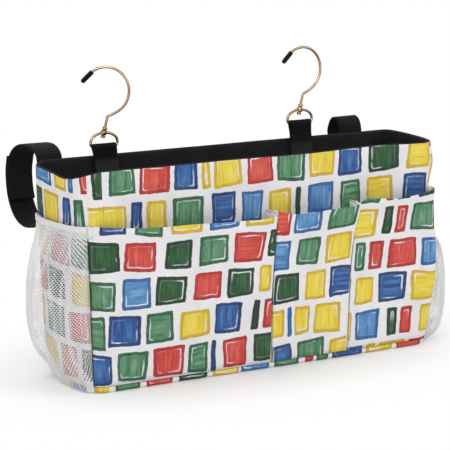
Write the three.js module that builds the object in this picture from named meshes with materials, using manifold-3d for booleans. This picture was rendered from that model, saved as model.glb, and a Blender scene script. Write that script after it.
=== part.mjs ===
import * as THREE from 'three'
import Module from 'manifold-3d'
import { mergeVertices } from 'three/addons/utils/BufferGeometryUtils.js'

const wasm = await Module()
wasm.setup()

// Bag body, measured on the outer cover at the rim
const bagHeight = 196
const bagHalfDepth = 45
const bagHalfLength = 186.5
const backLongerBy = 3.5
const endBow = 5
const frontCornerRadius = 16
const backCornerRadius = 8
const baseLengthShare = 0.965
const baseDepthShare = 0.975

// Layers of the wall, from the outside in
const coverThickness = 0.9
const layerClearance = 0.3
const boardThickness = 2.2
const liningThickness = 0.8
const seamClearance = 0.3
const boardEdgeInset = 4

// Front pockets, from left to right
const pocketThickness = 0.9
const pocketWallClearance = 0.4
const pocketPairClearance = 0.5
const pocketBottom = 6.5
const pocketOuterMouth = 151.4
const pocketFoldMouth = 148.6
const pocketMouthDip = [4.6, 3.4, 1.6]
const pocketDipPower = [5, 2, 4]
const pocketSeamX = [-2, 89]
const pocketProud = [19, 20, 15]
const pocketFold = 2.4
const pocketBottomProud = 1.4
const pocketFlare = 0.8
const pocketStartShare = -0.46
const pocketEndShare = 1.46
const pocketFoldShare = 0.86
const pocketEase = [
  [[0, 0], [0.05, 0.16], [0.11, 0.4], [0.19, 0.68], [0.29, 0.9]],
  [],
  [[0, 0], [0.09, 0.24], [0.18, 0.52], [0.3, 0.82]],
]
const pocketFlat = { left: [0.42, 0.56, 0.7, 0.84], middle: [0.26, 0.5, 0.74], right: [0.2, 0.38, 0.54] }
const miterFloor = 0.5

// Net pockets on the end walls
const netThickness = 0.8
const netWallClearance = 0.5
const netTop = 143.3
const netBottom = 1.5
const netBulge = 26
const netTopBulge = 6
const netAcrossPower = 0.42
const netBellyShift = 0.7
const netFrontShare = 1.54
const netBackShare = 3.5
const bindingHeight = 6
const bindingThickness = 1.6
const bindingClearance = 0.3

// Webbing
const webbingWidth = 25
const webbingThickness = 1.5
const webbingClearance = 0.3
const webbingWallClearance = 0.7

// Hook tabs and D-rings
const tabFromEnd = [63.5, 102]
const tabX = [tabFromEnd[0] - bagHalfLength, bagHalfLength - tabFromEnd[1]]
const tabRise = [12, 18.4]
const tabLegDepth = 46
const tabNeck = 4
const ringWire = 2.8
const ringOuterWidth = 31.6
const ringCrownRise = 12.1
const ringArchRise = 7.4
const ringButtGap = 0.3
const ringCorner = 2.4
const ringCornerInset = 0.3
const bossRadius = 3.3
const bossHeight = 4

// Swivelling hooks, drawn in the hook's own plane from the ring's crown
const swivelTurn = [-30, 1]
const swivelLean = 13
const hookWire = 2.3
const hookBoreClearance = 0.25
const headRadius = 2.6
const headHeight = 2.6
const headGap = 0.5
const headCrownShare = 0.6
const collarRadius = 2.5
const collarHeight = 3.4
const collarGap = 0.5
const hookKinkRise = 14.2
const kinkBend = 1.6
const kinkShare = 0.4
const crookCentre = [2.3, 38.7]
const crookRadius = 20.9
const crookStart = -58
const crookEnd = 129
const hookEndLength = 13.6
const sleeveWall = 0.55
const sleeveClearance = 0.1
const sleeveEndWall = 1.4

// Hook-and-loop straps
const strapFromEnd = [13.5, 38]
const strapX = [strapFromEnd[0] - bagHalfLength, bagHalfLength - strapFromEnd[1]]
const strapDepthShare = [1, 0.38]
const strapRiseShare = [1, 1.55]
const patchThickness = 0.9
const patchWidth = 21
const patchLength = 34
const patchClearance = 0.3
const flapGap = 1.6
const strapOverlap = 44

// Centre lines of the straps across the wall: distance behind its outer face, height over the rim
const legLine = 1.35
const anchorLine = [[1.35, -33], [1.35, -44], [1.9, -51], [4.4, -57.4], [9, -61]]
const flapLine = [[9, -61], [20, -64.2], [33, -65.4], [47, -63], [59, -56], [67, -45], [71, -30], [71, -17], [68, -6]]
const upperLine = [[1.35, -28], [1.35, -14], [1.6, -4], [3.6, 2.6], [9, 7], [17.5, 9.4], [28, 9.6], [40, 8.2], [51, 4.2], [59, -1]]

// Facets
const cornerSteps = 4
const wallSteps = 6
const sideSteps = 5
const pocketRows = 7
const netColumns = 18
const netRows = 10
const wireSides = 10
const turnedSides = 20
const strapSteps = 22
const hookSteps = 60
const ringSteps = 44
const archSteps = 8
const mergeTolerance = 1e-4

const materials = {
  print: new THREE.MeshStandardMaterial({ color: 0xe6e4e2, roughness: 0.85, metalness: 0 }),
  lining: new THREE.MeshStandardMaterial({ color: 0x1c1c1e, roughness: 0.9, metalness: 0 }),
  board: new THREE.MeshStandardMaterial({ color: 0xb9b6b0, roughness: 0.8, metalness: 0 }),
  net: new THREE.MeshStandardMaterial({ color: 0xf0f0f0, roughness: 0.8, metalness: 0 }),
  binding: new THREE.MeshStandardMaterial({ color: 0xf4f4f4, roughness: 0.8, metalness: 0 }),
  webbing: new THREE.MeshStandardMaterial({ color: 0x141415, roughness: 0.85, metalness: 0 }),
  patch: new THREE.MeshStandardMaterial({ color: 0x101011, roughness: 0.95, metalness: 0 }),
  metal: new THREE.MeshStandardMaterial({ color: 0xc89664, roughness: 0.2, metalness: 1 }),
  rubber: new THREE.MeshStandardMaterial({ color: 0x18181a, roughness: 0.6, metalness: 0 }),
}

const caddy = new THREE.Group()
caddy.name = 'bedside_caddy'

function addPiece(name, geometry, material) {
  const piece = new THREE.Mesh(geometry, materials[material])
  piece.name = name
  caddy.add(piece)
}

function mix(a, b, share) {
  return a + (b - a) * share
}

function radians(degrees) {
  return THREE.MathUtils.degToRad(degrees)
}

// Closed sheet between two grids of points. Columns run counterclockwise round the bag and rows run up
function sheetGeometry(outer, inner, joined = false) {
  const columns = outer.length
  const rows = outer[0].length
  const vertices = [...outer, ...inner].flat(2)
  const index = (side, i, j) => (side * columns + (i % columns)) * rows + j
  const faces = []
  const quad = (a, b, c, d) => faces.push(a, b, c, a, c, d)
  const last = joined ? columns : columns - 1
  for (let i = 0; i < last; i++) {
    for (let j = 0; j < rows - 1; j++) {
      quad(index(0, i, j), index(0, i + 1, j), index(0, i + 1, j + 1), index(0, i, j + 1))
      quad(index(1, i, j), index(1, i, j + 1), index(1, i + 1, j + 1), index(1, i + 1, j))
    }
    quad(index(0, i, rows - 1), index(0, i + 1, rows - 1), index(1, i + 1, rows - 1), index(1, i, rows - 1))
    quad(index(0, i, 0), index(1, i, 0), index(1, i + 1, 0), index(0, i + 1, 0))
  }
  if (!joined) {
    for (let j = 0; j < rows - 1; j++) {
      quad(index(0, 0, j), index(0, 0, j + 1), index(1, 0, j + 1), index(1, 0, j))
      quad(index(0, last, j), index(1, last, j), index(1, last, j + 1), index(0, last, j + 1))
    }
  }
  const geometry = new THREE.BufferGeometry()
  geometry.setAttribute('position', new THREE.Float32BufferAttribute(vertices, 3))
  geometry.setIndex(faces)
  geometry.computeVertexNormals()
  return geometry
}

function solidOf(geometry) {
  const plain = new THREE.BufferGeometry()
  plain.setAttribute('position', geometry.getAttribute('position'))
  if (geometry.index) {
    plain.setIndex(geometry.index)
  }
  const merged = mergeVertices(plain, mergeTolerance)
  const mesh = new wasm.Mesh({
    numProp: 3,
    vertProperties: merged.attributes.position.array,
    triVerts: new Uint32Array(merged.index.array),
  })
  return new wasm.Manifold(mesh)
}

function geometryOf(solid) {
  const mesh = solid.getMesh()
  const geometry = new THREE.BufferGeometry()
  geometry.setAttribute('position', new THREE.Float32BufferAttribute(mesh.vertProperties, mesh.numProp))
  geometry.setIndex([...mesh.triVerts])
  geometry.computeVertexNormals()
  return geometry
}

// Plan of the bag as eight parts, counterclockwise from above: front, corner, end, corner, back, corner, end, corner
const wallParts = 8
const quarterTurn = Math.PI / 2

function cornerOf(index) {
  const atFront = index === 0 || index === 3
  const side = index < 2 ? 1 : -1
  const radius = atFront ? frontCornerRadius : backCornerRadius
  const y = atFront ? radius - bagHalfDepth : bagHalfDepth - radius
  return { x: side * (bagHalfLength - radius), y, radius, start: (index - 1) * quarterTurn }
}

function cornerPoint(index, share) {
  const corner = cornerOf(index % 4)
  const angle = corner.start + share * quarterTurn
  return [corner.x + corner.radius * Math.cos(angle), corner.y + corner.radius * Math.sin(angle)]
}

function outline(station) {
  const along = ((station % wallParts) + wallParts) % wallParts
  const part = Math.floor(along)
  const share = along - part
  let point
  if (part % 2) {
    point = cornerPoint((part - 1) / 2, share)
  } else {
    const from = cornerPoint(part / 2 + 3, 1)
    const to = cornerPoint(part / 2, 0)
    point = [mix(from[0], to[0], share), mix(from[1], to[1], share)]
  }
  const across = point[1] / bagHalfDepth
  const longer = endBow * (1 - across * across) + backLongerBy * across
  return [point[0] * (1 + longer / bagHalfLength), point[1]]
}

// Point at a depth under the outer cover, negative outside it
const slopeStep = 1e-3

function wallPoint(station, depth, z) {
  const before = outline(station - slopeStep)
  const after = outline(station + slopeStep)
  const run = [after[0] - before[0], after[1] - before[1]]
  const length = Math.hypot(run[0], run[1])
  const point = outline(station)
  const x = point[0] - (depth * run[1]) / length
  const y = point[1] + (depth * run[0]) / length
  const rise = z / bagHeight
  return [x * mix(baseLengthShare, 1, rise), y * mix(baseDepthShare, 1, rise), z]
}

function stations(from, to) {
  const list = [from]
  for (let part = Math.floor(from); part < to; part++) {
    const side = ((part % wallParts) + wallParts) % wallParts
    const steps = side % 2 ? cornerSteps : side % 4 ? sideSteps : wallSteps
    for (let step = 1; step <= steps; step++) {
      const station = part + step / steps
      if (station > from && station < to) {
        list.push(station)
      }
    }
  }
  list.push(to)
  return list
}

function wallSheet(list, depth, thickness, bottom, top, joined = false) {
  const grid = (inset) => list.map((station) => [bottom, top].map((z) => wallPoint(station, inset, z)))
  return sheetGeometry(grid(depth), grid(depth + thickness), joined)
}

function roundStations() {
  return stations(0, wallParts).slice(0, -1)
}

function floorSheet(depth, thickness, bottom) {
  const shape = new THREE.Shape(roundStations().map((station) => new THREE.Vector2(...wallPoint(station, depth, bottom))))
  const geometry = new THREE.ExtrudeGeometry(shape, { depth: thickness, bevelEnabled: false })
  return geometry.translate(0, 0, bottom)
}

// Outer cover, seamed at the middle of each corner
const seamShare = (radius) => seamClearance / (Math.PI * radius)
const frontSeam = seamShare(frontCornerRadius)
const backSeam = seamShare(backCornerRadius)
const coverPanels = [
  { name: 'cover_front', from: -0.5 + frontSeam, to: 1.5 - frontSeam },
  { name: 'cover_right_end', from: 1.5 + frontSeam, to: 3.5 - backSeam },
  { name: 'cover_back', from: 3.5 + backSeam, to: 5.5 - backSeam },
  { name: 'cover_left_end', from: 5.5 + backSeam, to: 7.5 - frontSeam },
]
for (const panel of coverPanels) {
  addPiece(panel.name, wallSheet(stations(panel.from, panel.to), 0, coverThickness, 0, bagHeight), 'print')
}
addPiece('cover_base', floorSheet(coverThickness + seamClearance, coverThickness, 0), 'print')

// Boards between cover and lining
const boardDepth = coverThickness + layerClearance
const liningDepth = boardDepth + boardThickness + layerClearance
const boardNames = ['board_front', 'board_right_end', 'board_back', 'board_left_end']
boardNames.forEach((name, index) => {
  const list = stations(2 * index, 2 * index + 1)
  addPiece(name, wallSheet(list, boardDepth, boardThickness, boardDepth, bagHeight - boardEdgeInset), 'board')
})
addPiece('board_base', floorSheet(liningDepth, boardThickness, boardDepth), 'board')

// Lining
addPiece('lining_wall', wallSheet(roundStations(), liningDepth, liningThickness, liningDepth, bagHeight, true), 'lining')
addPiece('lining_base', floorSheet(liningDepth + liningThickness + seamClearance, liningThickness, liningDepth), 'lining')

// Front pockets. Each station has a share of the pocket's proudness; a fold stands straight out from the wall
function stationAtX(x) {
  const straight = bagHalfLength - frontCornerRadius
  return (x / (1 - backLongerBy / bagHalfLength) + straight) / (2 * straight)
}

// Columns of one pocket: station on the wall, share of the pocket's stand-off, and whether it is a fold's sewn edge
function pocketColumns(index) {
  const half = pocketPairClearance / 2
  const foldsLeft = index > 0
  const foldsRight = index < pocketSeamX.length
  const start = foldsLeft ? stationAtX(pocketSeamX[index - 1] + half) : pocketStartShare
  const end = foldsRight ? stationAtX(pocketSeamX[index] - half) : pocketEndShare
  const round = stationAtX(pocketFold) - stationAtX(0)
  const leftFold = [[start, 0, true], [start, pocketFoldShare], [start + round, 1]]
  const rightFold = [[end - round, 1], [end, pocketFoldShare], [end, 0, true]]
  const ease = pocketEase[index]
  const columns = foldsLeft ? leftFold : ease.map(([along, share]) => [mix(start, end, along), share])
  const flat = foldsLeft && foldsRight ? pocketFlat.middle : foldsLeft ? pocketFlat.right : pocketFlat.left
  columns.push(...flat.map((along) => [mix(start, end, along), 1]))
  columns.push(...(foldsRight ? rightFold : ease.map(([along, share]) => [mix(end, start, along), share]).reverse()))
  return { columns, start, end }
}

function offsetLine(line, distance) {
  return line.map((point, i) => {
    const before = line[Math.max(i - 1, 0)]
    const after = line[Math.min(i + 1, line.length - 1)]
    const into = new THREE.Vector2(point[0] - before[0], point[1] - before[1]).normalize()
    const away = new THREE.Vector2(after[0] - point[0], after[1] - point[1]).normalize()
    const run = into.clone().add(away).normalize()
    const stretch = distance / Math.max(run.dot(into.lengthSq() ? into : away), miterFloor)
    return [point[0] - run.y * stretch, point[1] + run.x * stretch]
  })
}

function pocketSheet(index) {
  const { columns, start, end } = pocketColumns(index)
  const leftMouth = index > 0 ? pocketFoldMouth : pocketOuterMouth
  const rightMouth = index < pocketSeamX.length ? pocketFoldMouth : pocketOuterMouth
  const rowPoints = (share) => {
    return columns.map(([station, proudShare, sewn]) => {
      const along = (station - start) / (end - start)
      const dip = pocketMouthDip[index] * (1 - Math.abs(2 * along - 1) ** pocketDipPower[index])
      const z = mix(pocketBottom, mix(leftMouth, rightMouth, along) - dip, share)
      const proud = mix(pocketBottomProud, pocketProud[index], share ** pocketFlare) * proudShare
      const stand = sewn ? pocketWallClearance : pocketWallClearance + pocketThickness + proud
      return wallPoint(station, -stand, z)
    })
  }
  const outerRows = []
  const innerRows = []
  for (let row = 0; row <= pocketRows; row++) {
    const points = rowPoints(row / pocketRows)
    const inner = offsetLine(points, pocketThickness)
    outerRows.push(points)
    innerRows.push(inner.map(([x, y], i) => [x, y, points[i][2]]))
  }
  const columnsOf = (rows) => rows[0].map((_, i) => rows.map((row) => row[i]))
  return sheetGeometry(columnsOf(outerRows), columnsOf(innerRows))
}

const pocketNames = ['front_pocket_left', 'front_pocket_middle', 'front_pocket_right']
pocketNames.forEach((name, index) => addPiece(name, pocketSheet(index), 'print'))

// Net pockets and their elastic bindings
function netSheet(from, to, rowHeights, thickness) {
  const columns = []
  for (let i = 0; i <= netColumns; i++) {
    columns.push(mix(from, to, i / netColumns))
  }
  const plan = columns.map((station) => wallPoint(station, 0, bagHeight))
  const lengths = [0]
  for (let i = 1; i < plan.length; i++) {
    lengths.push(lengths[i - 1] + Math.hypot(plan[i][0] - plan[i - 1][0], plan[i][1] - plan[i - 1][1]))
  }
  const grid = (lift) => {
    return columns.map((station, i) => {
      const across = Math.max(Math.sin((Math.PI * lengths[i]) / lengths[netColumns]), 0) ** netAcrossPower
      return rowHeights.map((z) => {
        const rise = Math.min((z - netBottom) / (netTop - netBottom), 1)
        const belly = Math.max(Math.sin(Math.PI * rise ** netBellyShift), 0)
        const bulge = mix(netTopBulge * rise, netBulge, belly) * across
        return wallPoint(station, -netWallClearance - bulge - lift, z)
      })
    })
  }
  return sheetGeometry(grid(thickness), grid(0))
}

const netHeights = Array.from({ length: netRows + 1 }, (_, row) => mix(netBottom, netTop, row / netRows))
const bindingHeights = [netTop + bindingClearance, netTop + bindingClearance + bindingHeight]
const netSides = [
  { side: 'right', from: netFrontShare, to: netBackShare },
  { side: 'left', from: wallParts + 1 - netBackShare, to: wallParts + 1 - netFrontShare },
]
for (const { side, from, to } of netSides) {
  addPiece('net_pocket_' + side, netSheet(from, to, netHeights, netThickness), 'net')
  addPiece('net_binding_' + side, netSheet(from, to, bindingHeights, bindingThickness), 'binding')
}

// Strip with a centre line across the wall (Y, Z), as wide as asked along X
function stripGeometry(line, thickness, width) {
  const edge = [...offsetLine(line, thickness / 2), ...offsetLine(line, -thickness / 2).reverse()]
  const shape = new THREE.Shape(edge.map(([y, z]) => new THREE.Vector2(y, z)))
  const geometry = new THREE.ExtrudeGeometry(shape, { depth: width, bevelEnabled: false })
  geometry.translate(0, 0, -width / 2)
  const across = new THREE.Matrix4().makeBasis(
    new THREE.Vector3(0, 1, 0),
    new THREE.Vector3(0, 0, 1),
    new THREE.Vector3(1, 0, 0),
  )
  return geometry.applyMatrix4(across)
}

function smoothLine(points, steps) {
  const curve = new THREE.CatmullRomCurve3(points.map(([y, z]) => new THREE.Vector3(y, z, 0)), false, 'centripetal')
  return curve.getSpacedPoints(steps).map(({ x, y }) => [x, y])
}

function addStrip(name, line, thickness, width, x, material) {
  const geometry = stripGeometry(line, thickness, width)
  geometry.translate(x, 0, 0)
  addPiece(name, geometry, material)
}

function wirePolygon(radius) {
  const corners = []
  for (let side = 0; side < wireSides; side++) {
    const angle = (2 * Math.PI * side) / wireSides
    corners.push(new THREE.Vector2(radius * Math.cos(angle), radius * Math.sin(angle)))
  }
  return new THREE.Shape(corners)
}

// Round wire along points of the X-Z plane
function wireGeometry(points, radius, steps) {
  const extrudePath = new THREE.CatmullRomCurve3(points.map(([x, z]) => new THREE.Vector3(x, 0, z)), false, 'centripetal')
  return new THREE.ExtrudeGeometry(wirePolygon(radius), { steps, extrudePath, bevelEnabled: false })
}

// Turned piece from a profile of radius and height, with its axis up
function turnedGeometry(profile) {
  const geometry = new THREE.LatheGeometry(profile.map(([r, z]) => new THREE.Vector2(r, z)), turnedSides)
  return geometry.rotateX(quarterTurn)
}

function leanAxis(geometry, index) {
  return geometry.rotateY(radians(swivelLean)).rotateZ(radians(swivelTurn[index]))
}

// Tabs: two sewn legs inside the back wall and a loop round the ring's bar
const innerFace = bagHalfDepth - liningDepth - liningThickness
const tabY = innerFace - webbingWallClearance - webbingThickness - webbingClearance / 2
const legOffset = (webbingClearance + webbingThickness) / 2
const loopRadius = ringWire / 2 + webbingClearance + webbingThickness / 2

function barHeight(index) {
  return bagHeight + tabRise[index] - webbingThickness - webbingClearance - ringWire / 2
}

function tabLine(index) {
  const top = barHeight(index)
  const line = [[tabY - legOffset, bagHeight - tabLegDepth]]
  line.push([tabY - legOffset, top - tabNeck])
  for (let step = 0; step <= archSteps; step++) {
    const angle = Math.PI * (1 - step / archSteps)
    line.push([tabY + loopRadius * Math.cos(angle), top + loopRadius * Math.sin(angle)])
  }
  line.push([tabY + legOffset, top - tabNeck])
  line.push([tabY + legOffset, bagHeight - tabLegDepth])
  return line
}

// D-ring as a bent wire, drawn from the crown down: its two ends meet inside the tab
function ringPoints() {
  const half = (ringOuterWidth - ringWire) / 2
  const low = -ringCrownRise
  const side = [[ringButtGap / 2, low], [half / 2, low], [half - ringCorner, low]]
  side.push([half - ringCorner * ringCornerInset, low + ringCorner * ringCornerInset], [half, low + ringCorner])
  for (let step = 0; step < archSteps; step++) {
    const angle = (quarterTurn * step) / archSteps
    side.push([half * Math.cos(angle), mix(-ringArchRise, 0, Math.sin(angle))])
  }
  return [...side, [0, 0], ...side.map(([x, z]) => [-x, z]).reverse()]
}

function ringGeometry(index) {
  const ring = solidOf(wireGeometry(ringPoints(), ringWire / 2, ringSteps))
  const boss = [[0, -bossHeight / 2], [bossRadius, -bossHeight / 2], [bossRadius, bossHeight / 2], [0, bossHeight / 2]]
  const boreRadius = hookWire / 2 + hookBoreClearance
  const bore = [[0, -bossHeight], [boreRadius, -bossHeight], [boreRadius, bossHeight], [0, bossHeight]]
  const bossSolid = solidOf(leanAxis(turnedGeometry(boss), index))
  const boreSolid = solidOf(leanAxis(turnedGeometry(bore), index))
  return geometryOf(ring.add(bossSolid).subtract(boreSolid))
}

// Hook wire in the plane of the hook, with the crown at the origin: stem, kink, crook and straight end
const leanSlope = Math.tan(radians(swivelLean))
const stemBottom = -bossHeight / 2 - headGap - headHeight

function crookPoint(degrees) {
  const angle = radians(degrees)
  return [crookCentre[0] + crookRadius * Math.cos(angle), crookCentre[1] + crookRadius * Math.sin(angle)]
}

function crookEndPoint(distance) {
  const end = crookPoint(crookEnd)
  const heading = radians(crookEnd) + quarterTurn
  return [end[0] + distance * Math.cos(heading), end[1] + distance * Math.sin(heading)]
}

function hookPoints() {
  const onStem = (height) => [height * leanSlope, height]
  const points = [onStem(stemBottom), onStem(0), onStem(hookKinkRise / 2), onStem(hookKinkRise - kinkBend)]
  points.push(onStem(hookKinkRise), [mix(onStem(hookKinkRise)[0], crookPoint(crookStart)[0], kinkShare),
    mix(hookKinkRise, crookPoint(crookStart)[1], kinkShare)])
  for (let step = 0; step <= 2 * archSteps; step++) {
    points.push(crookPoint(mix(crookStart, crookEnd, step / (2 * archSteps))))
  }
  points.push(crookEndPoint(hookEndLength / 2), crookEndPoint(hookEndLength - sleeveEndWall - sleeveClearance))
  return points
}

function hookGeometry(index) {
  const wire = solidOf(wireGeometry(hookPoints(), hookWire / 2, hookSteps))
  const top = stemBottom + headHeight
  const head = [[0, stemBottom], [headRadius * headCrownShare, stemBottom], [headRadius, stemBottom + headHeight / 2],
    [headRadius, top], [0, top]]
  const headSolid = solidOf(turnedGeometry(head).rotateY(radians(swivelLean)))
  return geometryOf(wire.add(headSolid)).rotateZ(radians(swivelTurn[index]))
}

function collarGeometry(index) {
  const bottom = bossHeight / 2 + collarGap
  const bore = hookWire / 2 + sleeveClearance
  const ring = [[bore, bottom], [collarRadius, bottom], [collarRadius, bottom + collarHeight],
    [bore, bottom + collarHeight], [bore, bottom]]
  return leanAxis(turnedGeometry(ring), index)
}

function sleeveGeometry(index) {
  const bore = hookWire / 2 + sleeveClearance
  const radius = bore + sleeveWall
  const profile = [[0, hookEndLength - sleeveEndWall], [bore, hookEndLength - sleeveEndWall], [bore, 0], [radius, 0],
    [radius, hookEndLength - radius / 2], [radius / 2, hookEndLength], [0, hookEndLength]]
  const geometry = turnedGeometry(profile)
  const [x, z] = crookPoint(crookEnd)
  geometry.rotateY(-radians(crookEnd))
  return geometry.translate(x, 0, z).rotateZ(radians(swivelTurn[index]))
}

const sides = ['left', 'right']
sides.forEach((side, index) => {
  addStrip('hook_tab_' + side, tabLine(index), webbingThickness, webbingWidth, tabX[index], 'webbing')
  const crown = new THREE.Group()
  crown.position.set(tabX[index], tabY, barHeight(index) + ringCrownRise)
  const hardware = { d_ring: ringGeometry(index), hook_wire: hookGeometry(index), hook_collar: collarGeometry(index) }
  for (const [piece, geometry] of Object.entries(hardware)) {
    const mesh = new THREE.Mesh(geometry, materials.metal)
    mesh.name = piece + '_' + side
    crown.add(mesh)
  }
  const sleeve = new THREE.Mesh(sleeveGeometry(index), materials.rubber)
  sleeve.name = 'hook_sleeve_' + side
  crown.add(sleeve)
  caddy.add(crown)
})

// Straps on the back wall: the upper one is sewn near the rim, and the flap hangs from its anchor lower down
sides.forEach((side, index) => {
  const placed = (line) => {
    return line.map(([y, z]) => {
      const behind = legLine + (y - legLine) * strapDepthShare[index]
      return [bagHalfDepth + behind, bagHeight + (z > 0 ? z * strapRiseShare[index] : z)]
    })
  }
  const trimmed = (line, gap, atEnd) => {
    const [tip, next] = atEnd ? [line[line.length - 1], line[line.length - 2]] : [line[0], line[1]]
    const length = Math.hypot(next[0] - tip[0], next[1] - tip[1])
    const moved = [mix(tip[0], next[0], gap / length), mix(tip[1], next[1], gap / length)]
    return atEnd ? [...line.slice(0, -1), moved] : [moved, ...line.slice(1)]
  }
  const anchor = trimmed(smoothLine(placed(anchorLine), strapSteps / 2), flapGap / 2, true)
  const flap = trimmed(smoothLine(placed(flapLine), strapSteps), flapGap / 2, false)
  const lengthTo = (i) => Math.hypot(flap[i + 1][0] - flap[i][0], flap[i + 1][1] - flap[i][1])
  const overlapFrom = (length) => {
    let i = flap.length - 1
    for (let left = length; i > 0 && left > 0; i--) {
      left -= lengthTo(i - 1)
    }
    return flap.slice(i)
  }
  const hookOffset = webbingThickness / 2 + patchClearance + patchThickness / 2
  const loopOffset = hookOffset + patchClearance + patchThickness
  const upperOffset = loopOffset + hookOffset
  const overlap = offsetLine(overlapFrom(strapOverlap), upperOffset).reverse()
  const upper = smoothLine([...placed(upperLine), ...overlap], 2 * strapSteps)
  const patch = overlapFrom(patchLength).slice(1, -1)
  const x = strapX[index]
  addStrip('strap_anchor_' + side, anchor, webbingThickness, webbingWidth, x, 'webbing')
  addStrip('strap_flap_' + side, flap, webbingThickness, webbingWidth, x, 'webbing')
  addStrip('strap_upper_' + side, upper, webbingThickness, webbingWidth, x, 'webbing')
  addStrip('strap_hook_patch_' + side, offsetLine(patch, hookOffset), patchThickness, patchWidth, x, 'patch')
  addStrip('strap_loop_patch_' + side, offsetLine(patch, loopOffset), patchThickness, patchWidth, x, 'patch')
})

export default caddy
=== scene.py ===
# Bedside caddy: a printed canvas bag on boards, with three front pockets, two net pockets,
# two webbing tabs with swivel hooks and two hook-and-loop straps.
# Sizes in the dictionaries are in millimetres; flat sizes, the camera and the studio are in metres.
import math

import bmesh
import bpy
import numpy as np
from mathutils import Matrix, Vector, noise


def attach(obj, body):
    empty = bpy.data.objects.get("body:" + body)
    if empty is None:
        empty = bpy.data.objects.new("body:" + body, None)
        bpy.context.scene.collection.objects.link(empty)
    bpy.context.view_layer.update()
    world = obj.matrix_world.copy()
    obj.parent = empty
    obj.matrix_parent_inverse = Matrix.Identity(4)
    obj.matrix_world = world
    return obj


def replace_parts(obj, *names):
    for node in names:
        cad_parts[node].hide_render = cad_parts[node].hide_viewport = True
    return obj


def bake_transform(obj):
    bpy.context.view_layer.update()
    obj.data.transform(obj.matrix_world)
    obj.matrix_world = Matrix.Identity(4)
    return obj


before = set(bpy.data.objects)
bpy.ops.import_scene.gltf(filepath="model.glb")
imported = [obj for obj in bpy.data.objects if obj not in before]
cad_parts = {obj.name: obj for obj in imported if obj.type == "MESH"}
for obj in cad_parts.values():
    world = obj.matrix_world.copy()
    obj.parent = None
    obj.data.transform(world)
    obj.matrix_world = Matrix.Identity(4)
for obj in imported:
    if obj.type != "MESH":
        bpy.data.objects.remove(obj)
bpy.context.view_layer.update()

mm = 0.001
fullTurn = 2 * math.pi
sides = ["left", "right"]


# Camera

cameraView = {
    "azimuth": -30,
    "elevation": 11.27,
    "distance": 1.833,
    "lens": 160,
    "sensor": 36,
    "lookAt": (-0.01932, 0, 0.12852),
}


def linked(name, data):
    holder = bpy.data.objects.new(name, data)
    bpy.context.collection.objects.link(holder)
    return holder


def placeCamera():
    az = math.radians(cameraView["azimuth"])
    el = math.radians(cameraView["elevation"])
    away = Vector((math.sin(az) * math.cos(el), -math.cos(az) * math.cos(el), math.sin(el)))
    camera = linked("camera", bpy.data.cameras.new("camera"))
    camera.data.lens = cameraView["lens"]
    camera.data.sensor_width = cameraView["sensor"]
    camera.location = Vector(cameraView["lookAt"]) + away * cameraView["distance"]
    camera.rotation_euler = away.to_track_quat("Z", "Y").to_euler()
    bpy.context.scene.camera = camera


placeCamera()
print("camera placed")


# Node helpers

class Value:
    # a node's output, so that sums of outputs are written as sums
    def __init__(self, nodes, socket):
        self.nodes = nodes
        self.socket = socket

    def __add__(self, other):
        return self.nodes.math("ADD", self, other)

    def __sub__(self, other):
        return self.nodes.math("SUBTRACT", self, other)

    def __rsub__(self, other):
        return self.nodes.math("SUBTRACT", other, self)

    def __mul__(self, other):
        return self.nodes.math("MULTIPLY", self, other)

    def __truediv__(self, other):
        return self.nodes.math("DIVIDE", self, other)

    def __gt__(self, other):
        return self.nodes.math("GREATER_THAN", self, other)

    def __abs__(self):
        return self.nodes.math("ABSOLUTE", self)


class Nodes:
    # one node tree, with short calls for the nodes used again and again
    def __init__(self, tree):
        self.tree = tree

    def add(self, kind, **settings):
        node = self.tree.nodes.new("ShaderNode" + kind)
        for key, value in settings.items():
            setattr(node, key, value)
        return node

    def feed(self, socket, value):
        if isinstance(value, Value):
            self.tree.links.new(value.socket, socket)
        else:
            socket.default_value = value

    def filled(self, kind, values, output=0, **settings):
        # the output of a new node whose first inputs are these values
        node = self.add(kind, **settings)
        for socket, value in zip(node.inputs, values):
            self.feed(socket, value)
        return Value(self, node.outputs[output])

    def math(self, operation, *values):
        return self.filled("Math", values, operation=operation)

    def ramp(self, value, low, high, toLow=0.0, toHigh=1.0, smooth=False):
        kind = "SMOOTHSTEP" if smooth else "LINEAR"
        return self.filled("MapRange", (value, low, high, toLow, toHigh), interpolation_type=kind)

    def blend(self, share, first, second):
        node = self.add("Mix", data_type="RGBA")
        for place, value in ((0, share), (6, first), (7, second)):
            self.feed(node.inputs[place], value)
        return Value(self, node.outputs[2])

    def noise(self, vector, scale, detail=2.0, roughness=0.5, output="Fac"):
        node = self.add("TexNoise")
        for title, value in zip(("Vector", "Scale", "Detail", "Roughness"), (vector, scale, detail, roughness)):
            self.feed(node.inputs[title], value)
        return Value(self, node.outputs[output])

    def chances(self, *place):
        # three even chances for each whole-number place
        return self.split(self.filled("TexWhiteNoise", [self.join(*place)], "Color", noise_dimensions="3D"))

    def cells(self, value):
        # which cell a value is in, and how far through it
        return self.math("FLOOR", value), self.math("FRACT", value)

    def sway(self, vector, scale, reach):
        # the place moved about by up to this many millimetres
        moved = self.noise(vector, scale, 2, output="Color")
        return self.filled("VectorMath", (moved, (reach * mm, reach * mm, 0), vector), operation="MULTIPLY_ADD")

    def join(self, x, y, z=0.0):
        return self.filled("CombineXYZ", (x, y, z))

    def split(self, vector):
        node = self.add("SeparateXYZ")
        self.feed(node.inputs[0], vector)
        return [Value(self, output) for output in node.outputs]

    def steps(self, value, stops):
        # colours by value, with hard changes from one to the next
        node = self.add("ValToRGB")
        ramp = node.color_ramp
        ramp.interpolation = "CONSTANT"
        while len(ramp.elements) < len(stops):
            ramp.elements.new(1.0)
        for element, (place, shade) in zip(ramp.elements, stops):
            element.position = place
            element.color = shade
        self.feed(node.inputs[0], value)
        return Value(self, node.outputs[0])


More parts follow.
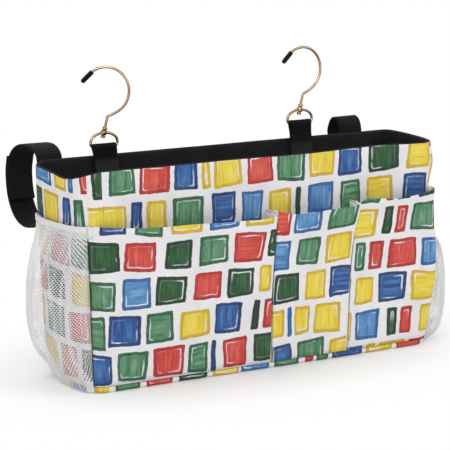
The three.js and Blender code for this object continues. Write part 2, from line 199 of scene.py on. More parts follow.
def newGroup(name, inputs, outputs):
    # the nodes, input values and output sockets of a new shader group
    tree = bpy.data.node_groups.new(name, "ShaderNodeTree")
    for title, kind in inputs:
        tree.interface.new_socket(title, in_out="INPUT", socket_type="NodeSocket" + kind)
    for title, kind in outputs:
        tree.interface.new_socket(title, in_out="OUTPUT", socket_type="NodeSocket" + kind)
    n = Nodes(tree)
    given = tree.nodes.new("NodeGroupInput").outputs
    made = tree.nodes.new("NodeGroupOutput").inputs
    return n, [Value(n, given[title]) for title, _ in inputs], [made[title] for title, _ in outputs]


def colour(red, green, blue):
    # colours are given as 0 to 255, as seen on a screen
    shares = [c / 255 for c in (red, green, blue)]
    linear = [c / 12.92 if c <= 0.04 else ((c + 0.055) / 1.055) ** 2.4 for c in shares]
    return (*linear, 1.0)


# Painted print: rows of brushed squares on off-white canvas

paintedPrint = {
    "columnPitch": 34.6,
    "rowPitch": 33.4,
    "squareHalfWidth": 14.2,
    "squareHalfHeight": 13.7,
    "widthDrift": 0.55,
    "sizeChange": 3.4,
    "placeChange": 2.4,
    "tilt": 0.11,
    "taper": 0.13,
    "cornerSoftness": 3.0,
    "brushWobble": 2.6,
    "bristleWobble": 0.7,
    "rimDepth": (2.4, 1.3),
    "rimWander": 2.4,
    "inkDepth": (1.5, 0.35),
    "innerDepth": (3.6, 10),
    "lineDepth": 2.9,
    "lineWander": 1.6,
    "lineHalfWidth": (0.6, 1.0),
    "sliverShare": 0.17,
    "sliverGap": 1.9,
    "sliverPlace": 17,
    "lyingShare": 0.2,
    # per metre: streaks across the brush and along it, and the scales of the noises
    "streaks": (300, 26),
    "scales": {"drift": 15, "brush": 85, "bristle": 560, "cloud": 62, "line": 60, "ground": 34},
    # each ramp runs from the first value to the second and gives 0 to 1, or the two values after them
    "ramps": {
        "edge": (0.2 * mm, -0.25 * mm),
        "pale": (0.4, 0.64),
        "dark": (0.48, 0.3, 0.0, 0.42),
        "rimStreak": (0.3, 0.6, 1.0, 0.62),
        "inkCloud": (0.42, 0.62, 0.0, 0.6),
        "lineSide": (-3 * mm, 3 * mm, 0.12, 1.0),
        "lineBreak": (0.4, 0.52),
        "lineChance": (0.0, 0.5, 0.45, 0.95),
        "ground": (0.36, 0.7),
    },
    "inkStrength": 0.4,
    "cover": 0.98,
    "ground": colour(238, 236, 237),
    "shadedGround": colour(226, 225, 228),
    "ink": colour(22, 26, 38),
    "paleLine": colour(232, 238, 246),
    # share of the squares, then rim, body and pale streaks of each paint
    "paints": [
        (0.18, colour(164, 28, 28), colour(203, 56, 46), colour(224, 112, 94)),
        (0.15, colour(8, 42, 98), colour(20, 74, 142), colour(78, 138, 196)),
        (0.12, colour(24, 82, 146), colour(64, 126, 184), colour(134, 182, 218)),
        (0.14, colour(4, 42, 22), colour(14, 70, 32), colour(58, 112, 60)),
        (0.18, colour(18, 78, 46), colour(64, 126, 84), colour(132, 176, 140)),
        (0.23, colour(200, 160, 24), colour(230, 204, 46), colour(242, 226, 110)),
    ],
    # how far the choice of paint moves on per column, per row, by chance, past a gap and per cut
    "paintSteps": (0.381966, 0.7236, 0.3, 0.55, 0.173),
}


def spreadOf(chance, width):
    return (chance - 0.5) * width


def buildPrintGroup():
    p, ramps, scales = paintedPrint, paintedPrint["ramps"], paintedPrint["scales"]
    n, (cloth, cut), made = newGroup("paintedSquares", [("Cloth", "Vector"), ("Cut", "Float")],
                                     [("Color", "Color"), ("Paint", "Float")])
    across, up, _ = n.split(n.sway(cloth, scales["brush"], p["brushWobble"]))

    # rows of equal height; along a row the squares are wider and narrower by turns
    row, inRow = n.cells(up / (p["rowPitch"] * mm))
    drift = n.noise(n.join(across * scales["drift"], row * 7.3, cut), 1, 0) * p["widthDrift"]
    column, inColumn = n.cells(across / (p["columnPitch"] * mm) + (drift + n.chances(row, cut)[0]))

    # chances of each square
    one, two, three = n.chances(column, row, cut)
    four, five, six = n.chances(column + 51.7, row, cut)
    seven, eight, nine = n.chances(column, row + 83.1, cut)

    x = spreadOf(inColumn, p["columnPitch"] * mm) - spreadOf(one, p["placeChange"] * mm)
    y = spreadOf(inRow, p["rowPitch"] * mm) - spreadOf(two, p["placeChange"] * 0.6 * mm)
    turn = spreadOf(four, p["tilt"])
    x, y = y * turn + x, y - x * turn
    halfWidth = spreadOf(five, p["sizeChange"] * mm) + p["squareHalfWidth"] * mm
    halfHeight = spreadOf(six, p["sizeChange"] * 0.5 * mm) + p["squareHalfHeight"] * mm
    overX = abs(x) - (y * spreadOf(seven, p["taper"]) + halfWidth)
    overY = abs(y) - (x * spreadOf(eight, p["taper"]) + halfHeight)
    edge = n.math("SMOOTH_MAX", overX, overY, p["cornerSoftness"] * mm)

    # some squares are parted into a narrow sliver and a rest of another colour
    parted = nine > 1 - p["sliverShare"]
    fromGap = x - spreadOf(eight, p["sliverPlace"] * mm)
    gap = (p["sliverGap"] * mm - abs(fromGap)) - (1.0 - parted)
    edge = n.math("SMOOTH_MAX", edge, gap, p["cornerSoftness"] * mm)
    other = (fromGap > 0.0) * parted
    edge = edge + spreadOf(n.noise(cloth, scales["bristle"], 2), p["bristleWobble"] * mm)
    painted = n.ramp(edge, *ramps["edge"])

    # paint colours: neighbours are seldom alike
    perColumn, perRow, byChance, pastGap, perCut = p["paintSteps"]
    pick = three * byChance + (column * perColumn + row * perRow) + (other * pastGap + cut * perCut)
    pick = n.math("FRACT", pick + 8.0)
    stops, total = [[], [], []], 0.0
    for share, *shades in p["paints"]:
        for stopList, shade in zip(stops, shades):
            stopList.append((total, shade))
        total += share
    rim, body, pale = (n.steps(pick, stopList) for stopList in stops)

    # streaks of the brush, upright on most squares
    fine, coarse = p["streaks"]
    upright = n.noise(n.join(across * fine, up * coarse, cut), 1, 3, 0.65)
    lying = n.noise(n.join(across * coarse, up * fine, cut), 1, 3, 0.65)
    streak = n.blend(six > 1 - p["lyingShare"], upright, lying)
    cloud = n.noise(cloth, scales["cloud"], 3)
    start, full = (-depth * mm for depth in p["innerDepth"])
    inside = n.ramp(edge, start, full, smooth=True)
    paint = n.blend(n.ramp(streak, *ramps["pale"]) * (inside * 0.5 + cloud * 0.5), body, pale)
    paint = n.blend(n.ramp(streak, *ramps["dark"]), paint, rim)

    # darker rim, inked here and there at its edge
    start, full = (-depth * mm for depth in p["rimDepth"])
    rimShare = n.ramp(cloud * (p["rimWander"] * mm) + edge, start, full) * n.ramp(streak, *ramps["rimStreak"])
    paint = n.blend(rimShare, paint, rim)
    start, full = (-depth * mm for depth in p["inkDepth"])
    inkShare = n.ramp(edge, start, full) * n.ramp(cloud, *ramps["inkCloud"])
    paint = n.blend(inkShare, paint, n.blend(p["inkStrength"], rim, p["ink"]))

    # pale line that the brush left inside the rim, mostly on two sides and broken here and there
    offLine = abs(cloud * (p["lineWander"] * mm) + edge + p["lineDepth"] * mm)
    thin, wide = (width * mm for width in p["lineHalfWidth"])
    line = n.ramp(offLine, n.ramp(cloud, 0.35, 0.65, thin, wide), 0.2 * mm)
    around = two * fullTurn
    toCorner = x * n.math("COSINE", around) + y * n.math("SINE", around)
    line = line * n.ramp(toCorner, *ramps["lineSide"])
    line = line * n.ramp(n.noise(cloth, scales["line"], 2), *ramps["lineBreak"])
    line = line * n.ramp(five, *ramps["lineChance"])
    paint = n.blend(line, paint, p["paleLine"])

    shadedShare = n.ramp(n.noise(cloth, scales["ground"], 3), *ramps["ground"])
    ground = n.blend(shadedShare, p["ground"], p["shadedGround"])
    n.feed(made[0], n.blend(painted * p["cover"], ground, paint))
    n.feed(made[1], painted)
    return n.tree


def buildWeaveGroup():
    # plain weave: threads go over and under each other in turn
    n, (cloth, threads), made = newGroup("plainWeave", [("Cloth", "Vector"), ("Threads per metre", "Float")],
                                         [("Height", "Float"), ("Slub", "Float")])
    x, y, _ = n.split(cloth)
    warp, weft = (n.math("SINE", item * (threads * math.pi)) for item in (x, y))
    slub = n.noise(n.join(x * 60, y * 900), 1, 2)
    n.feed(made[0], warp * weft * 0.5 + (abs(warp) + abs(weft)) * 0.35 + slub * 0.5)
    n.feed(made[1], slub)
    return n.tree


def buildWebbingGroup():
    # flat webbing: fine ribs across it and a shallow chevron along it
    n, (strip, ribs), made = newGroup("webbingRibs", [("Strip", "Vector"), ("Ribs per metre", "Float")],
                                      [("Height", "Float"), ("Fuzz", "Float")])
    x, y, _ = n.split(strip)
    zigzag = n.math("PINGPONG", x + 1.0, 3.1 * mm)  # half a chevron is 3.1 mm wide
    rib = n.math("SINE", (y + zigzag * 0.55) * ribs * fullTurn)
    thread = n.math("SINE", x * (fullTurn * 1400))  # threads per metre
    fuzz = n.noise(strip, 900, 3, 0.7)
    n.feed(made[0], rib * 0.5 + thread * 0.22 + fuzz * 0.6)
    n.feed(made[1], fuzz)
    return n.tree


netHoles = {
    "pitch": 1.85,
    # the net is pulled wider in its middle, 100 mm along the cloth, than at its sewn sides
    "middle": 100,
    "middlePull": 0.44,
    "sidePull": 30,
    "slant": 0.56,
    # the hill runs from -1.5 between the holes to 3 at their middles
    "limits": (-1.4, 2.8),
}


def buildNetGroup():
    # knitted net: rows of small holes wider than high, each row set over by half a hole
    h = netHoles
    n, (cloth, threadShare), made = newGroup("netHoles", [("Cloth", "Vector"), ("Thread share", "Float")],
                                             [("Thread", "Float"), ("Height", "Float")])
    x, y, _ = n.split(n.sway(cloth, 120, 1.4))
    x = x - h["middle"] * mm
    x = x * (x * x * h["sidePull"] + h["middlePull"])
    slant = y * h["slant"]
    turns = fullTurn / (h["pitch"] * mm)
    first, second, third = (n.math("COSINE", item * turns) for item in (x + slant, x - slant, slant * 2))
    hill = first + second + third
    limit = n.ramp(threadShare, 0.0, 1.0, *h["limits"])
    n.feed(made[0], n.ramp(hill - limit, 0.2, -0.2))
    n.feed(made[1], (limit - hill) * 0.3)
    return n.tree


effects = {
    "print": buildPrintGroup(),
    "weave": buildWeaveGroup(),
    "webbing": buildWebbingGroup(),
    "net": buildNetGroup(),
}
print("shader groups built")


# Materials

# tones: where the first shade starts and ends to pass into the second; rough: the same for the roughness,
# then its two values; bump: strength and depth
webbingLook = {"slot": "webbing", "shades": (colour(12, 12, 13), colour(26, 26, 28)), "tones": (0.4, 0.75),
               "rough": (0.3, 0.7, 0.7, 0.9), "gloss": 0.14, "bump": (0.55, 0.22), "ribs": 900}
pileLook = {"slot": "hook_and_loop", "shades": (colour(12, 12, 13), colour(38, 38, 40)), "tones": (0.3, 0.8),
            "bump": (0.8, 0.5)}
looks = {
    # the print's last two values are a painted shade line along the left pocket's edge: its colour and width
    "print": {"slot": "print", "threads": 1900, "rough": (0, 1, 0.86, 0.76), "gloss": 0.15,
              "bump": (0.35, 0.12), "thread": colour(150, 148, 150), "grain": colour(120, 116, 118),
              "crevice": colour(46, 44, 38), "creviceWidth": 1.2},
    "canvasBack": {"slot": "print", "shades": (colour(232, 231, 230), colour(220, 219, 220)), "threads": 1900,
                   "tones": (0.35, 0.65), "rough": (0.3, 0.7, 0.82, 0.94), "gloss": 0.25, "bump": (0.4, 0.15)},
    "blackLining": {"slot": "lining", "shades": (colour(38, 38, 39), colour(27, 27, 28)), "threads": 1500,
                    "tones": (0.35, 0.65), "rough": (0.3, 0.7, 0.74, 0.86), "gloss": 0.12,
                    "bump": (0.45, 0.15)},
    "blackWebbing": webbingLook,
    # tab webbing: painted light, paler below the rim inside the bag
    "tabWebbing": {**webbingLook, "rubbedBelow": 195, "rubbedFade": 6, "rubbed": colour(52, 51, 51)},
    "blackThread": {**webbingLook, "shades": (colour(15, 15, 16), colour(30, 30, 32)), "ribs": 2600},
    "whiteThread": {**webbingLook, "slot": "elastic", "shades": (colour(228, 228, 227), colour(214, 214, 213)),
                    "ribs": 2600},
    "whiteNet": {"slot": "net", "shades": (colour(240, 240, 241), colour(224, 224, 226)), "tones": (0.35, 0.65),
                 "rough": (0.3, 0.7, 0.55, 0.7), "gloss": 0.3, "bump": (0.35, 0.2), "gathered": (118, 150)},
    "whiteElastic": {"slot": "elastic", "shades": (colour(220, 220, 221), colour(238, 238, 238)),
                     "tones": (0.2, 0.8), "rough": (0.3, 0.7, 0.72, 0.86), "gloss": 0.25, "bump": (0.5, 0.16),
                     "ribs": 1050, "cords": 700},
    "hookTape": {**pileLook, "rough": (0.2, 0.8, 0.95, 0.6), "gloss": 0.35, "hooks": (640, 560)},
    "loopTape": {**pileLook, "rough": (0.2, 0.8, 0.95, 0.85), "gloss": 0.15},
    # rose gold: turned is the brown of painted shade, where the wire turns away from the eye
    "roseGoldWire": {"slot": "metal", "shades": (colour(214, 178, 134), colour(186, 146, 102)),
                     "tones": (0.35, 0.65), "turned": colour(66, 42, 26), "rim": colour(96, 52, 26),
                     "rough": (0.7, 1.3, 0.16, 0.24), "gloss": 0.5, "bump": (0.02, 0.02)},
    "blackRubber": {"slot": "rubber", "shades": (colour(4, 4, 5), colour(10, 10, 11)), "tones": (0.35, 0.7),
                    "grain": (1500, 3, 0.6), "rough": (0.3, 0.7, 0.5, 0.64), "gloss": 0.12,
                    "bump": (0.1, 0.04)},
    "greyBoard": {"slot": "board", "shades": (colour(172, 166, 156), colour(146, 140, 130)),
                  "tones": (0.35, 0.65), "grain": (420, 4, 0.7), "rough": (0.3, 0.7, 0.82, 0.94), "gloss": 0.5,
                  "bump": (0.3, 0.1)},
}


def lookOf(finish):
    # every cut of the print has the same look
    return looks.get(finish, looks["print"])


def newMaterial(name):
    material = bpy.data.materials.new(name)
    material.use_nodes = True
    material.node_tree.nodes.clear()
    n = Nodes(material.node_tree)
    shader = n.add("BsdfPrincipled")
    n.feed(n.add("OutputMaterial").inputs[0], Value(n, shader.outputs[0]))
    return material, n, shader.inputs


def useGroup(n, effect, *values):
    node = n.add("Group")
    node.node_tree = effects[effect]
    for socket, value in zip(node.inputs, values):
        n.feed(socket, value)
    return [Value(n, output) for output in node.outputs]


def clothPlace(n):
    return Value(n, n.add("UVMap", uv_map="cloth").outputs[0])


def objectPlace(n):
    return Value(n, n.add("TexCoord").outputs["Object"])


def facingAway(n):
    layer = n.add("LayerWeight")
    layer.inputs["Blend"].default_value = 0.5
    return Value(n, layer.outputs["Facing"])


def shaded(n, look, tone):
    return n.blend(n.ramp(tone, *look["tones"]), *look["shades"])


def dress(n, shader, look, shade, grain, height):
    n.feed(shader["Base Color"], shade)
    n.feed(shader["Roughness"], n.ramp(grain, *look["rough"]))
    shader["Specular IOR Level"].default_value = look["gloss"]
    bump = n.add("Bump")
    strength, depth = look["bump"]
    bump.inputs["Strength"].default_value = strength
    bump.inputs["Distance"].default_value = depth * mm
    n.feed(bump.inputs["Height"], height)
    n.feed(shader["Normal"], Value(n, bump.outputs[0]))


def clothMaterial(pattern):
    # pattern gives the colour, the grain that drives the roughness, and the height
    def make(name, *more):
        material, n, shader = newMaterial(name)
        look = lookOf(name)
        dress(n, shader, look, *pattern(n, look, clothPlace(n), *more))
        return material
    return make


@clothMaterial
def printedCanvas(n, look, place, cut, seamShadeAt=None):
    shade, paint = useGroup(n, "print", place, cut)
    height, slub = useGroup(n, "weave", place, look["threads"])
    shade = n.blend(n.ramp(slub, 0.35, 0.75, 0.0, 0.06), shade, look["thread"])
    shade = n.blend(n.ramp(n.noise(place, 900, 2, 0.7), 0.42, 0.72, 0.0, 0.16), shade, look["grain"])
    # painted shade: a dark line along the pocket's edge, where its fold meets the net
    if seamShadeAt is not None:
        start, end = seamShadeAt * mm, (seamShadeAt + look["creviceWidth"]) * mm
        near = n.ramp(n.split(place)[0], start, end, 0.66, 0.0, True)
        shade = n.blend(near, shade, look["crevice"])
    return shade, paint, height


@clothMaterial
def plainCanvas(n, look, place):
    height, slub = useGroup(n, "weave", place, look["threads"])
    tone = slub * 0.5 + n.noise(place, 45, 3) * 0.5
    return shaded(n, look, tone), slub, height


@clothMaterial
def webbingCloth(n, look, place):
    height, fuzz = useGroup(n, "webbing", place, look["ribs"])
    shade = shaded(n, look, fuzz)
    if "rubbedBelow" in look:
        # painted light: paler below the rim, where the tab lies inside the bag and catches more light
        z, top = n.split(objectPlace(n))[2], look["rubbedBelow"]
        rubbed = n.ramp(z, (top - look["rubbedFade"]) * mm, top * mm, 0.85, 0, smooth=True)
        shade = n.blend(rubbed, shade, look["rubbed"])
    return shade, fuzz, height


def netCloth(name):
    material, n, shader = newMaterial(name)
    look, place = looks[name], clothPlace(n)
    x, y, _ = n.split(n.sway(place, 22, 9))
    folds = n.noise(n.join(x * 130, y * 9), 1, 2)  # upright folds, where two layers of net overlap
    low, high = (at * mm for at in look["gathered"])
    gathered = n.ramp(n.split(place)[1], low, high, 0, 0.22, smooth=True)
    thread, height = useGroup(n, "net", place, n.ramp(folds, 0.5, 0.68, 0.15, 0.48) + gathered)
    tone = n.noise(place, 30, 3)
    edgeOn = n.ramp(facingAway(n), 0.42, 0.85, 0.03, 0.9, smooth=True)
    n.feed(shader["Alpha"], n.math("MAXIMUM", thread, edgeOn))
    dress(n, shader, look, shaded(n, look, tone), tone, height)
    return material


@clothMaterial
def elasticCloth(n, look, place):
    x, y, _ = n.split(place)
    rib = n.math("SINE", y * (fullTurn * look["ribs"]))
    cord = n.math("SINE", x * (fullTurn * look["cords"]))
    fuzz = n.noise(place, 700, 2)
    return shaded(n, look, rib * 0.25 + fuzz), fuzz, rib + cord * 0.4


@clothMaterial
def pileCloth(n, look, place):
    # hook side: rows of small stiff hooks; loop side: tangled soft loops
    if "hooks" in look:
        waves = [n.math("SINE", item * (fullTurn * each)) for item, each in zip(n.split(place), look["hooks"])]
        dots = waves[0] * waves[1]
        tone, height = n.ramp(dots, -0.2, 0.8), n.ramp(dots, 0.0, 0.9)
    else:
        tone = height = n.noise(place, 1300, 4, 0.75)
    return shaded(n, look, tone), tone, height


def roseGold(name):
    # plated wire, pale gold where it faces the eye; painted shade darkens it to brown where it turns away
    material, n, shader = newMaterial(name)
    look, place = looks[name], objectPlace(n)
    drawn, cloud = n.noise(place, 420, 2), n.noise(place, 60, 2)
    # painted shade: the share of brown grows towards the wire's outline
    turned = n.ramp(facingAway(n), 0.04, 0.5, smooth=True)
    shade = n.blend(turned, shaded(n, look, cloud), look["turned"])
    shader["Metallic"].default_value = 1.0
    shader["Specular Tint"].default_value = look["rim"]
    dress(n, shader, look, shade, drawn + cloud, drawn)
    return material


def grainy(name):
    # rubber or board, of one fine grain
    material, n, shader = newMaterial(name)
    look = looks[name]
    grain = n.noise(objectPlace(n), *look["grain"])
    dress(n, shader, look, shaded(n, look, grain), grain, grain)
    return material


makers = {
    plainCanvas: ["canvasBack", "blackLining"],
    webbingCloth: ["blackWebbing", "tabWebbing", "blackThread", "whiteThread"],
    netCloth: ["whiteNet"],
    elasticCloth: ["whiteElastic"],
    pileCloth: ["hookTape", "loopTape"],
    roseGold: ["roseGoldWire"],
    grainy: ["blackRubber", "greyBoard"],
}
finishes = {name: make(name) for make, names in makers.items() for name in names}
# each print is another cut of the cloth; the left pocket's has a painted shade line along its fold, where it
# meets the net
for name, *cut in (("wallPrint", 3), ("basePrint", 7), ("pocketPrintLeft", 11, 0.6), ("pocketPrintMiddle", 19),
                   ("pocketPrintRight", 28)):
    finishes[name] = printedCanvas(name, *cut)
print("materials built")


# Shape of the bag, as cut and sewn

bag = {
    "height": 196,
    "halfDepth": 45,
    "halfLength": 186.5,
    "backLongerBy": 3.5,
    "endBow": 5,
    "frontCorner": 16,
    "backCorner": 8,
    # the bag narrows towards its base, least at the right front corner
    "baseLengthShare": 0.965,
    "baseDepthShare": 0.975,
    "cornerLonger": 0.021,
    "cornerReach": [(100, 172), (-40, 15)],
    # depth of the cloth's wrinkles, then slanted and broad ones: their share and size
    "wrinkle": 0.55,
    "wrinkleKinds": [(0.55, 26), (0.8, 75)],
    "wrinkleSlant": 0.6,
    "wrinkleSquash": 0.35,
    # the wrinkles start over the base, fade a little to the rim, and are faint behind the pockets
    "wrinkleRise": (6, 30),
    "wrinkleFade": 0.75,
    "liningFade": 0.8,
    "behindPockets": 0.25,
    "pocketTops": (150, 165),
    "rimWave": (0.25, 46),
    # where the walls start to follow the rim, and how far the rim is above or below its height, by station
    "rimFrom": 150,
    "rimLine": [(0, 1.1), (0.06, 1.5), (0.15, 0.9), (0.3, 1.4), (0.4, 1.4), (0.6, 0.2), (0.7, 0.9), (0.85, 1.9),
                (1, 0), (5, 0), (6, -3.5), (6.3, -3.4), (6.6, -5.2), (6.75, -7), (6.9, -6.3), (7, -5),
                (7.3, -3.2), (7.6, -0.7), (7.8, 0.6), (8, 1.1)],
    # the right end stands out below its rim: by how much, at which height and how far round it
    "endBulge": 3.8,
    "bulgeHeight": (176, 12),
    "bulgeStation": (1.9, 0.5),
    # the loaded net draws the back left corner of the base up and in
    "cornerDraw": (5.5, 4),
    "drawnStation": (5.8, 0.55),
    "drawnBelow": 34,
    "panelShift": [0, 450, 1100, 1760],
    "cornerSeam": 0.55,
    "seamWidth": 0.9,
    "seamReach": [(6, 10), (192, 196)],
    "cover": 0.9,
    "lining": 0.48,
    "floorRows": 6,
    "floorHalfSpine": 150,
    "floorSag": 0.5,
    "floorSagSize": 30,
    "liningLift": 0.35,
}


def mix(a, b, share):
    return a + (b - a) * share


def ease(low, high, value):
    t = min(max((value - low) / (high - low), 0), 1)
    return t * t * (3 - 2 * t)


def bump(offset, width):
    return math.exp(-(offset / width) ** 2)


def cloudy(x, y, z, size, seed=0.0):
    return noise.noise(Vector((x / size + seed * 3.7, y / size - seed * 1.3, z / size + seed)))


def planPoint(station):
    # the bag's outline in eight parts, front wall first, counterclockwise from above
    part, share = int(station % 8), station % 1

    def corner(index, at):
        radius = bag["frontCorner"] if index in (0, 3) else bag["backCorner"]
        side = 1 if index < 2 else -1
        y = (bag["halfDepth"] - radius) * (-1 if index in (0, 3) else 1)
        angle = (index - 1 + at) * math.pi / 2
        return side * (bag["halfLength"] - radius) + radius * math.cos(angle), y + radius * math.sin(angle)

    if part % 2:
        x, y = corner((part - 1) // 2, share)
    else:
        start, end = corner((part // 2 + 3) % 4, 1), corner(part // 2, 0)
        x, y = (mix(start[k], end[k], share) for k in (0, 1))
    across = y / bag["halfDepth"]
    longer = bag["endBow"] * (1 - across * across) + bag["backLongerBy"] * across
    return x * (1 + longer / bag["halfLength"]), y


def planFrame(station):
    # a point of the outline and the direction into the bag there
    before, after = planPoint(station - 0.001), planPoint(station + 0.001)
    run = Vector((after[0] - before[0], after[1] - before[1])).normalized()
    return Vector(planPoint(station)), Vector((-run.y, run.x))


def wallPoint(frameAt, depth, z):
    point, inward = frameAt
    rise = z / bag["height"]
    (xFrom, xTo), (yFrom, yTo) = bag["cornerReach"]
    atCorner = ease(xFrom, xTo, point.x) * (1 - ease(yFrom, yTo, point.y))
    x = (point.x + inward.x * depth) * mix(bag["baseLengthShare"] + bag["cornerLonger"] * atCorner, 1, rise)
    y = (point.y + inward.y * depth) * mix(bag["baseDepthShare"], 1, rise)
    return Vector((x, y, z))


# Paths

def lengthsAlong(points):
    steps = [0.0]
    for a, b in zip(points, points[1:]):
        steps.append(steps[-1] + (Vector(b) - Vector(a)).length)
    return steps


def headings(path):
    last = len(path) - 1
    return [(path[min(i + 1, last)] - path[max(i - 1, 0)]).normalized() for i in range(last + 1)]


def placeAt(path, steps, distance):
    return Vector([np.interp(distance, steps, [p[k] for p in path]) for k in range(3)])


def smoothPath(points, count):
    # an even path of count points on a smooth curve through the given ones
    points = [Vector((*p, 0)[:3]) for p in points]
    gaps = [(b - a).length for a, b in zip(points, points[1:])]
    slopes = [(b - a) / gap for a, b, gap in zip(points, points[1:], gaps)]
    leans = [slopes[0]]
    for i in range(1, len(slopes)):
        leans.append((slopes[i - 1] * gaps[i] + slopes[i] * gaps[i - 1]) / (gaps[i] + gaps[i - 1]))
    leans.append(slopes[-1])
    fine = []
    for a, b, gap, leanA, leanB in zip(points, points[1:], gaps, leans, leans[1:]):
        for t in np.linspace(0, 1, 24, endpoint=False):
            t = float(t)
            leaning = leanA * gap * t * (1 - t) ** 2 - leanB * gap * t * t * (1 - t)
            fine.append(a.lerp(b, ease(0, 1, t)) + leaning)
    fine.append(points[-1])
    steps = lengthsAlong(fine)
    return [placeAt(fine, steps, distance) for distance in np.linspace(0, steps[-1], count)]


# Mesh makers

def newPiece(name, points, faces, places, finish, body="bag", flat=()):
    # places are the cloth coordinates of each face corner; printed cloth has a plain back
    slot = lookOf(finish)["slot"]
    mesh = bpy.data.meshes.new(name)
    mesh.from_pydata([Vector(p) * mm for p in points], [], faces)
    if places is not None:
        layer = mesh.uv_layers.new(name="cloth")
        flatList = [value for face in places for pair in face for value in pair]
        layer.data.foreach_set("uv", np.array(flatList, np.float32) * mm)
    for each in [finish, "canvasBack"] if slot == "print" else [finish]:
        mesh.materials.append(finishes[each])
    mesh.polygons.foreach_set("use_smooth", [i not in flat for i in range(len(faces))])
    mesh.update()
    piece = linked(name, mesh)
    if body:
        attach(piece, body)
    return piece


def reshape(piece, change):
    shell = bmesh.new()
    shell.from_mesh(piece.data)
    change(shell)
    shell.to_mesh(piece.data)
    shell.free()


def fixDirection(piece):
    reshape(piece, lambda shell: bmesh.ops.recalc_face_normals(shell, faces=shell.faces))
    return piece


def closeFloor(piece):
    # the two long rows that meet at the middle of the floor become one
    reshape(piece, lambda shell: bmesh.ops.remove_doubles(shell, verts=shell.verts, dist=0.02 * mm))


def clothPiece(name, columns, places, finish, thickness=0.0, closed=False, panels=None):
    # columns[i][j] is a grid that runs counterclockwise and upwards; places[i][j] are its cloth coordinates,
    # and panels[i] is how far they are shifted where another cut of the cloth starts
    count, rows = len(columns), len(columns[0])
    faces, cloth = [], []
    for i in range(count if closed else count - 1):
        k = (i + 1) % count
        for j in range(rows - 1):
            faces.append((i * rows + j, k * rows + j, k * rows + j + 1, i * rows + j + 1))
            corners = (places[i][j], places[i + 1][j], places[i + 1][j + 1], places[i][j + 1])
            cloth.append([(a + panels[i], b + panels[i] / 9) for a, b in corners] if panels else corners)
    piece = newPiece(name, [p for column in columns for p in column], faces, cloth, finish)
    if thickness:
        wall = piece.modifiers.new("thickness", "SOLIDIFY")
        wall.thickness = thickness * mm
        wall.offset = -1
        wall.use_even_offset = False
        wall.material_offset = len(piece.data.materials) - 1
    return piece


def ringFaces(rows, around, closed=False):
    # faces between rings of points, with flat caps unless the last ring joins the first
    faces = []
    for j in range(rows if closed else rows - 1):
        low, high = j * around, (j + 1) % rows * around
        faces += [(low + k, low + (k + 1) % around, high + (k + 1) % around, high + k) for k in range(around)]
    if not closed:
        faces += [tuple(range(around))[::-1], tuple((rows - 1) * around + k for k in range(around))]
    return faces


stripShape = {"roundShare": 0.95, "endAngles": (60, 30, 0, -30, -60)}


def stripPiece(name, path, across, out, width, thickness, finish, body, middle=8, shape=None):
    # a flat strip with rounded edges along a path; across and out are directions at each point
    half, thin = width / 2, thickness / 2
    rounded = thin * stripShape["roundShare"]
    section = [(mix(rounded - half, half - rounded, k / middle), thin) for k in range(middle + 1)]
    for angle in map(math.radians, stripShape["endAngles"]):
        section.append((half - rounded + rounded * math.cos(angle), thin * math.sin(angle)))
    section += [(-a, -b) for a, b in section]
    size, steps = len(section), lengthsAlong(path)
    points = []
    for centre, side, away, step in zip(path, across, out, steps):
        for a, b in section:
            lift = shape(step, a) if shape else 0.0
            points.append(centre + side * a + away * (b + lift))
    around = lengthsAlong(section + section[:1])
    faces = ringFaces(len(path), size)
    cloth = []
    for low, high in zip(steps, steps[1:]):
        cloth += [((a, low), (b, low), (b, high), (a, high)) for a, b in zip(around, around[1:])]
    for cap in faces[-2:]:
        cloth.append([(section[v % size][0] + half, section[v % size][1]) for v in cap])
    flat = {len(faces) - 1, len(faces) - 2}
    return fixDirection(newPiece(name, points, faces, cloth, finish, body, flat))


def circled(centre, side, other, radius, around):
    angles = [fullTurn * k / around for k in range(around)]
    return [centre + (side * math.cos(a) + other * math.sin(a)) * radius for a in angles]


def tube(path, radii, around=20):
    # points and faces of round wire along a path
    points, side = [], headings(path)[0].orthogonal()
    for centre, ahead, radius in zip(path, headings(path), radii):
        side = (side - ahead * side.dot(ahead)).normalized()
        points += circled(centre, side, ahead.cross(side), radius, around)
    return points, ringFaces(len(path), around)


def turned(profile, origin, axis, ring=False, around=28):
    # points and faces of a shape turned round an axis, from a profile of radius and height
    side = axis.orthogonal().normalized()
    points = []
    for radius, height in profile:
        points += circled(origin + axis * height, side, axis.cross(side), radius, around)
    return points, ringFaces(len(profile), around, ring)


def joinedPiece(name, parts, finish, body):
    # one piece of several closed parts, each given as points and faces
    points, faces = [], []
    for morePoints, moreFaces in parts:
        faces += [tuple(len(points) + v for v in face) for face in moreFaces]
        points += morePoints
    return fixDirection(newPiece(name, points, faces, None, finish, body))


stitchSize = {"pitch": 3.4, "length": 2.4, "radius": 0.26}
fineStitch = {"pitch": 2.8, "length": 1.9, "radius": 0.15}
# share of the length, of the radius and of the depth, from end to end of a stitch
stitchForm = [(0.0, 0.35, 0.5), (0.2, 0.9, 0.1), (0.5, 1.0, 0.0), (0.8, 0.9, 0.1), (1.0, 0.35, 0.5)]
crossedBox = ((0, 1), (1, 2), (2, 3), (3, 0), (0, 2), (1, 3))  # sides and diagonals of a box of stitches


def boxLines(at, half, low, high, out):
    # at gives the point for a place across and a height
    corners = [at(a, z) for a, z in ((-half, low), (half, low), (half, high), (-half, high))]
    return [([corners[a], corners[b]], out) for a, b in crossedBox]


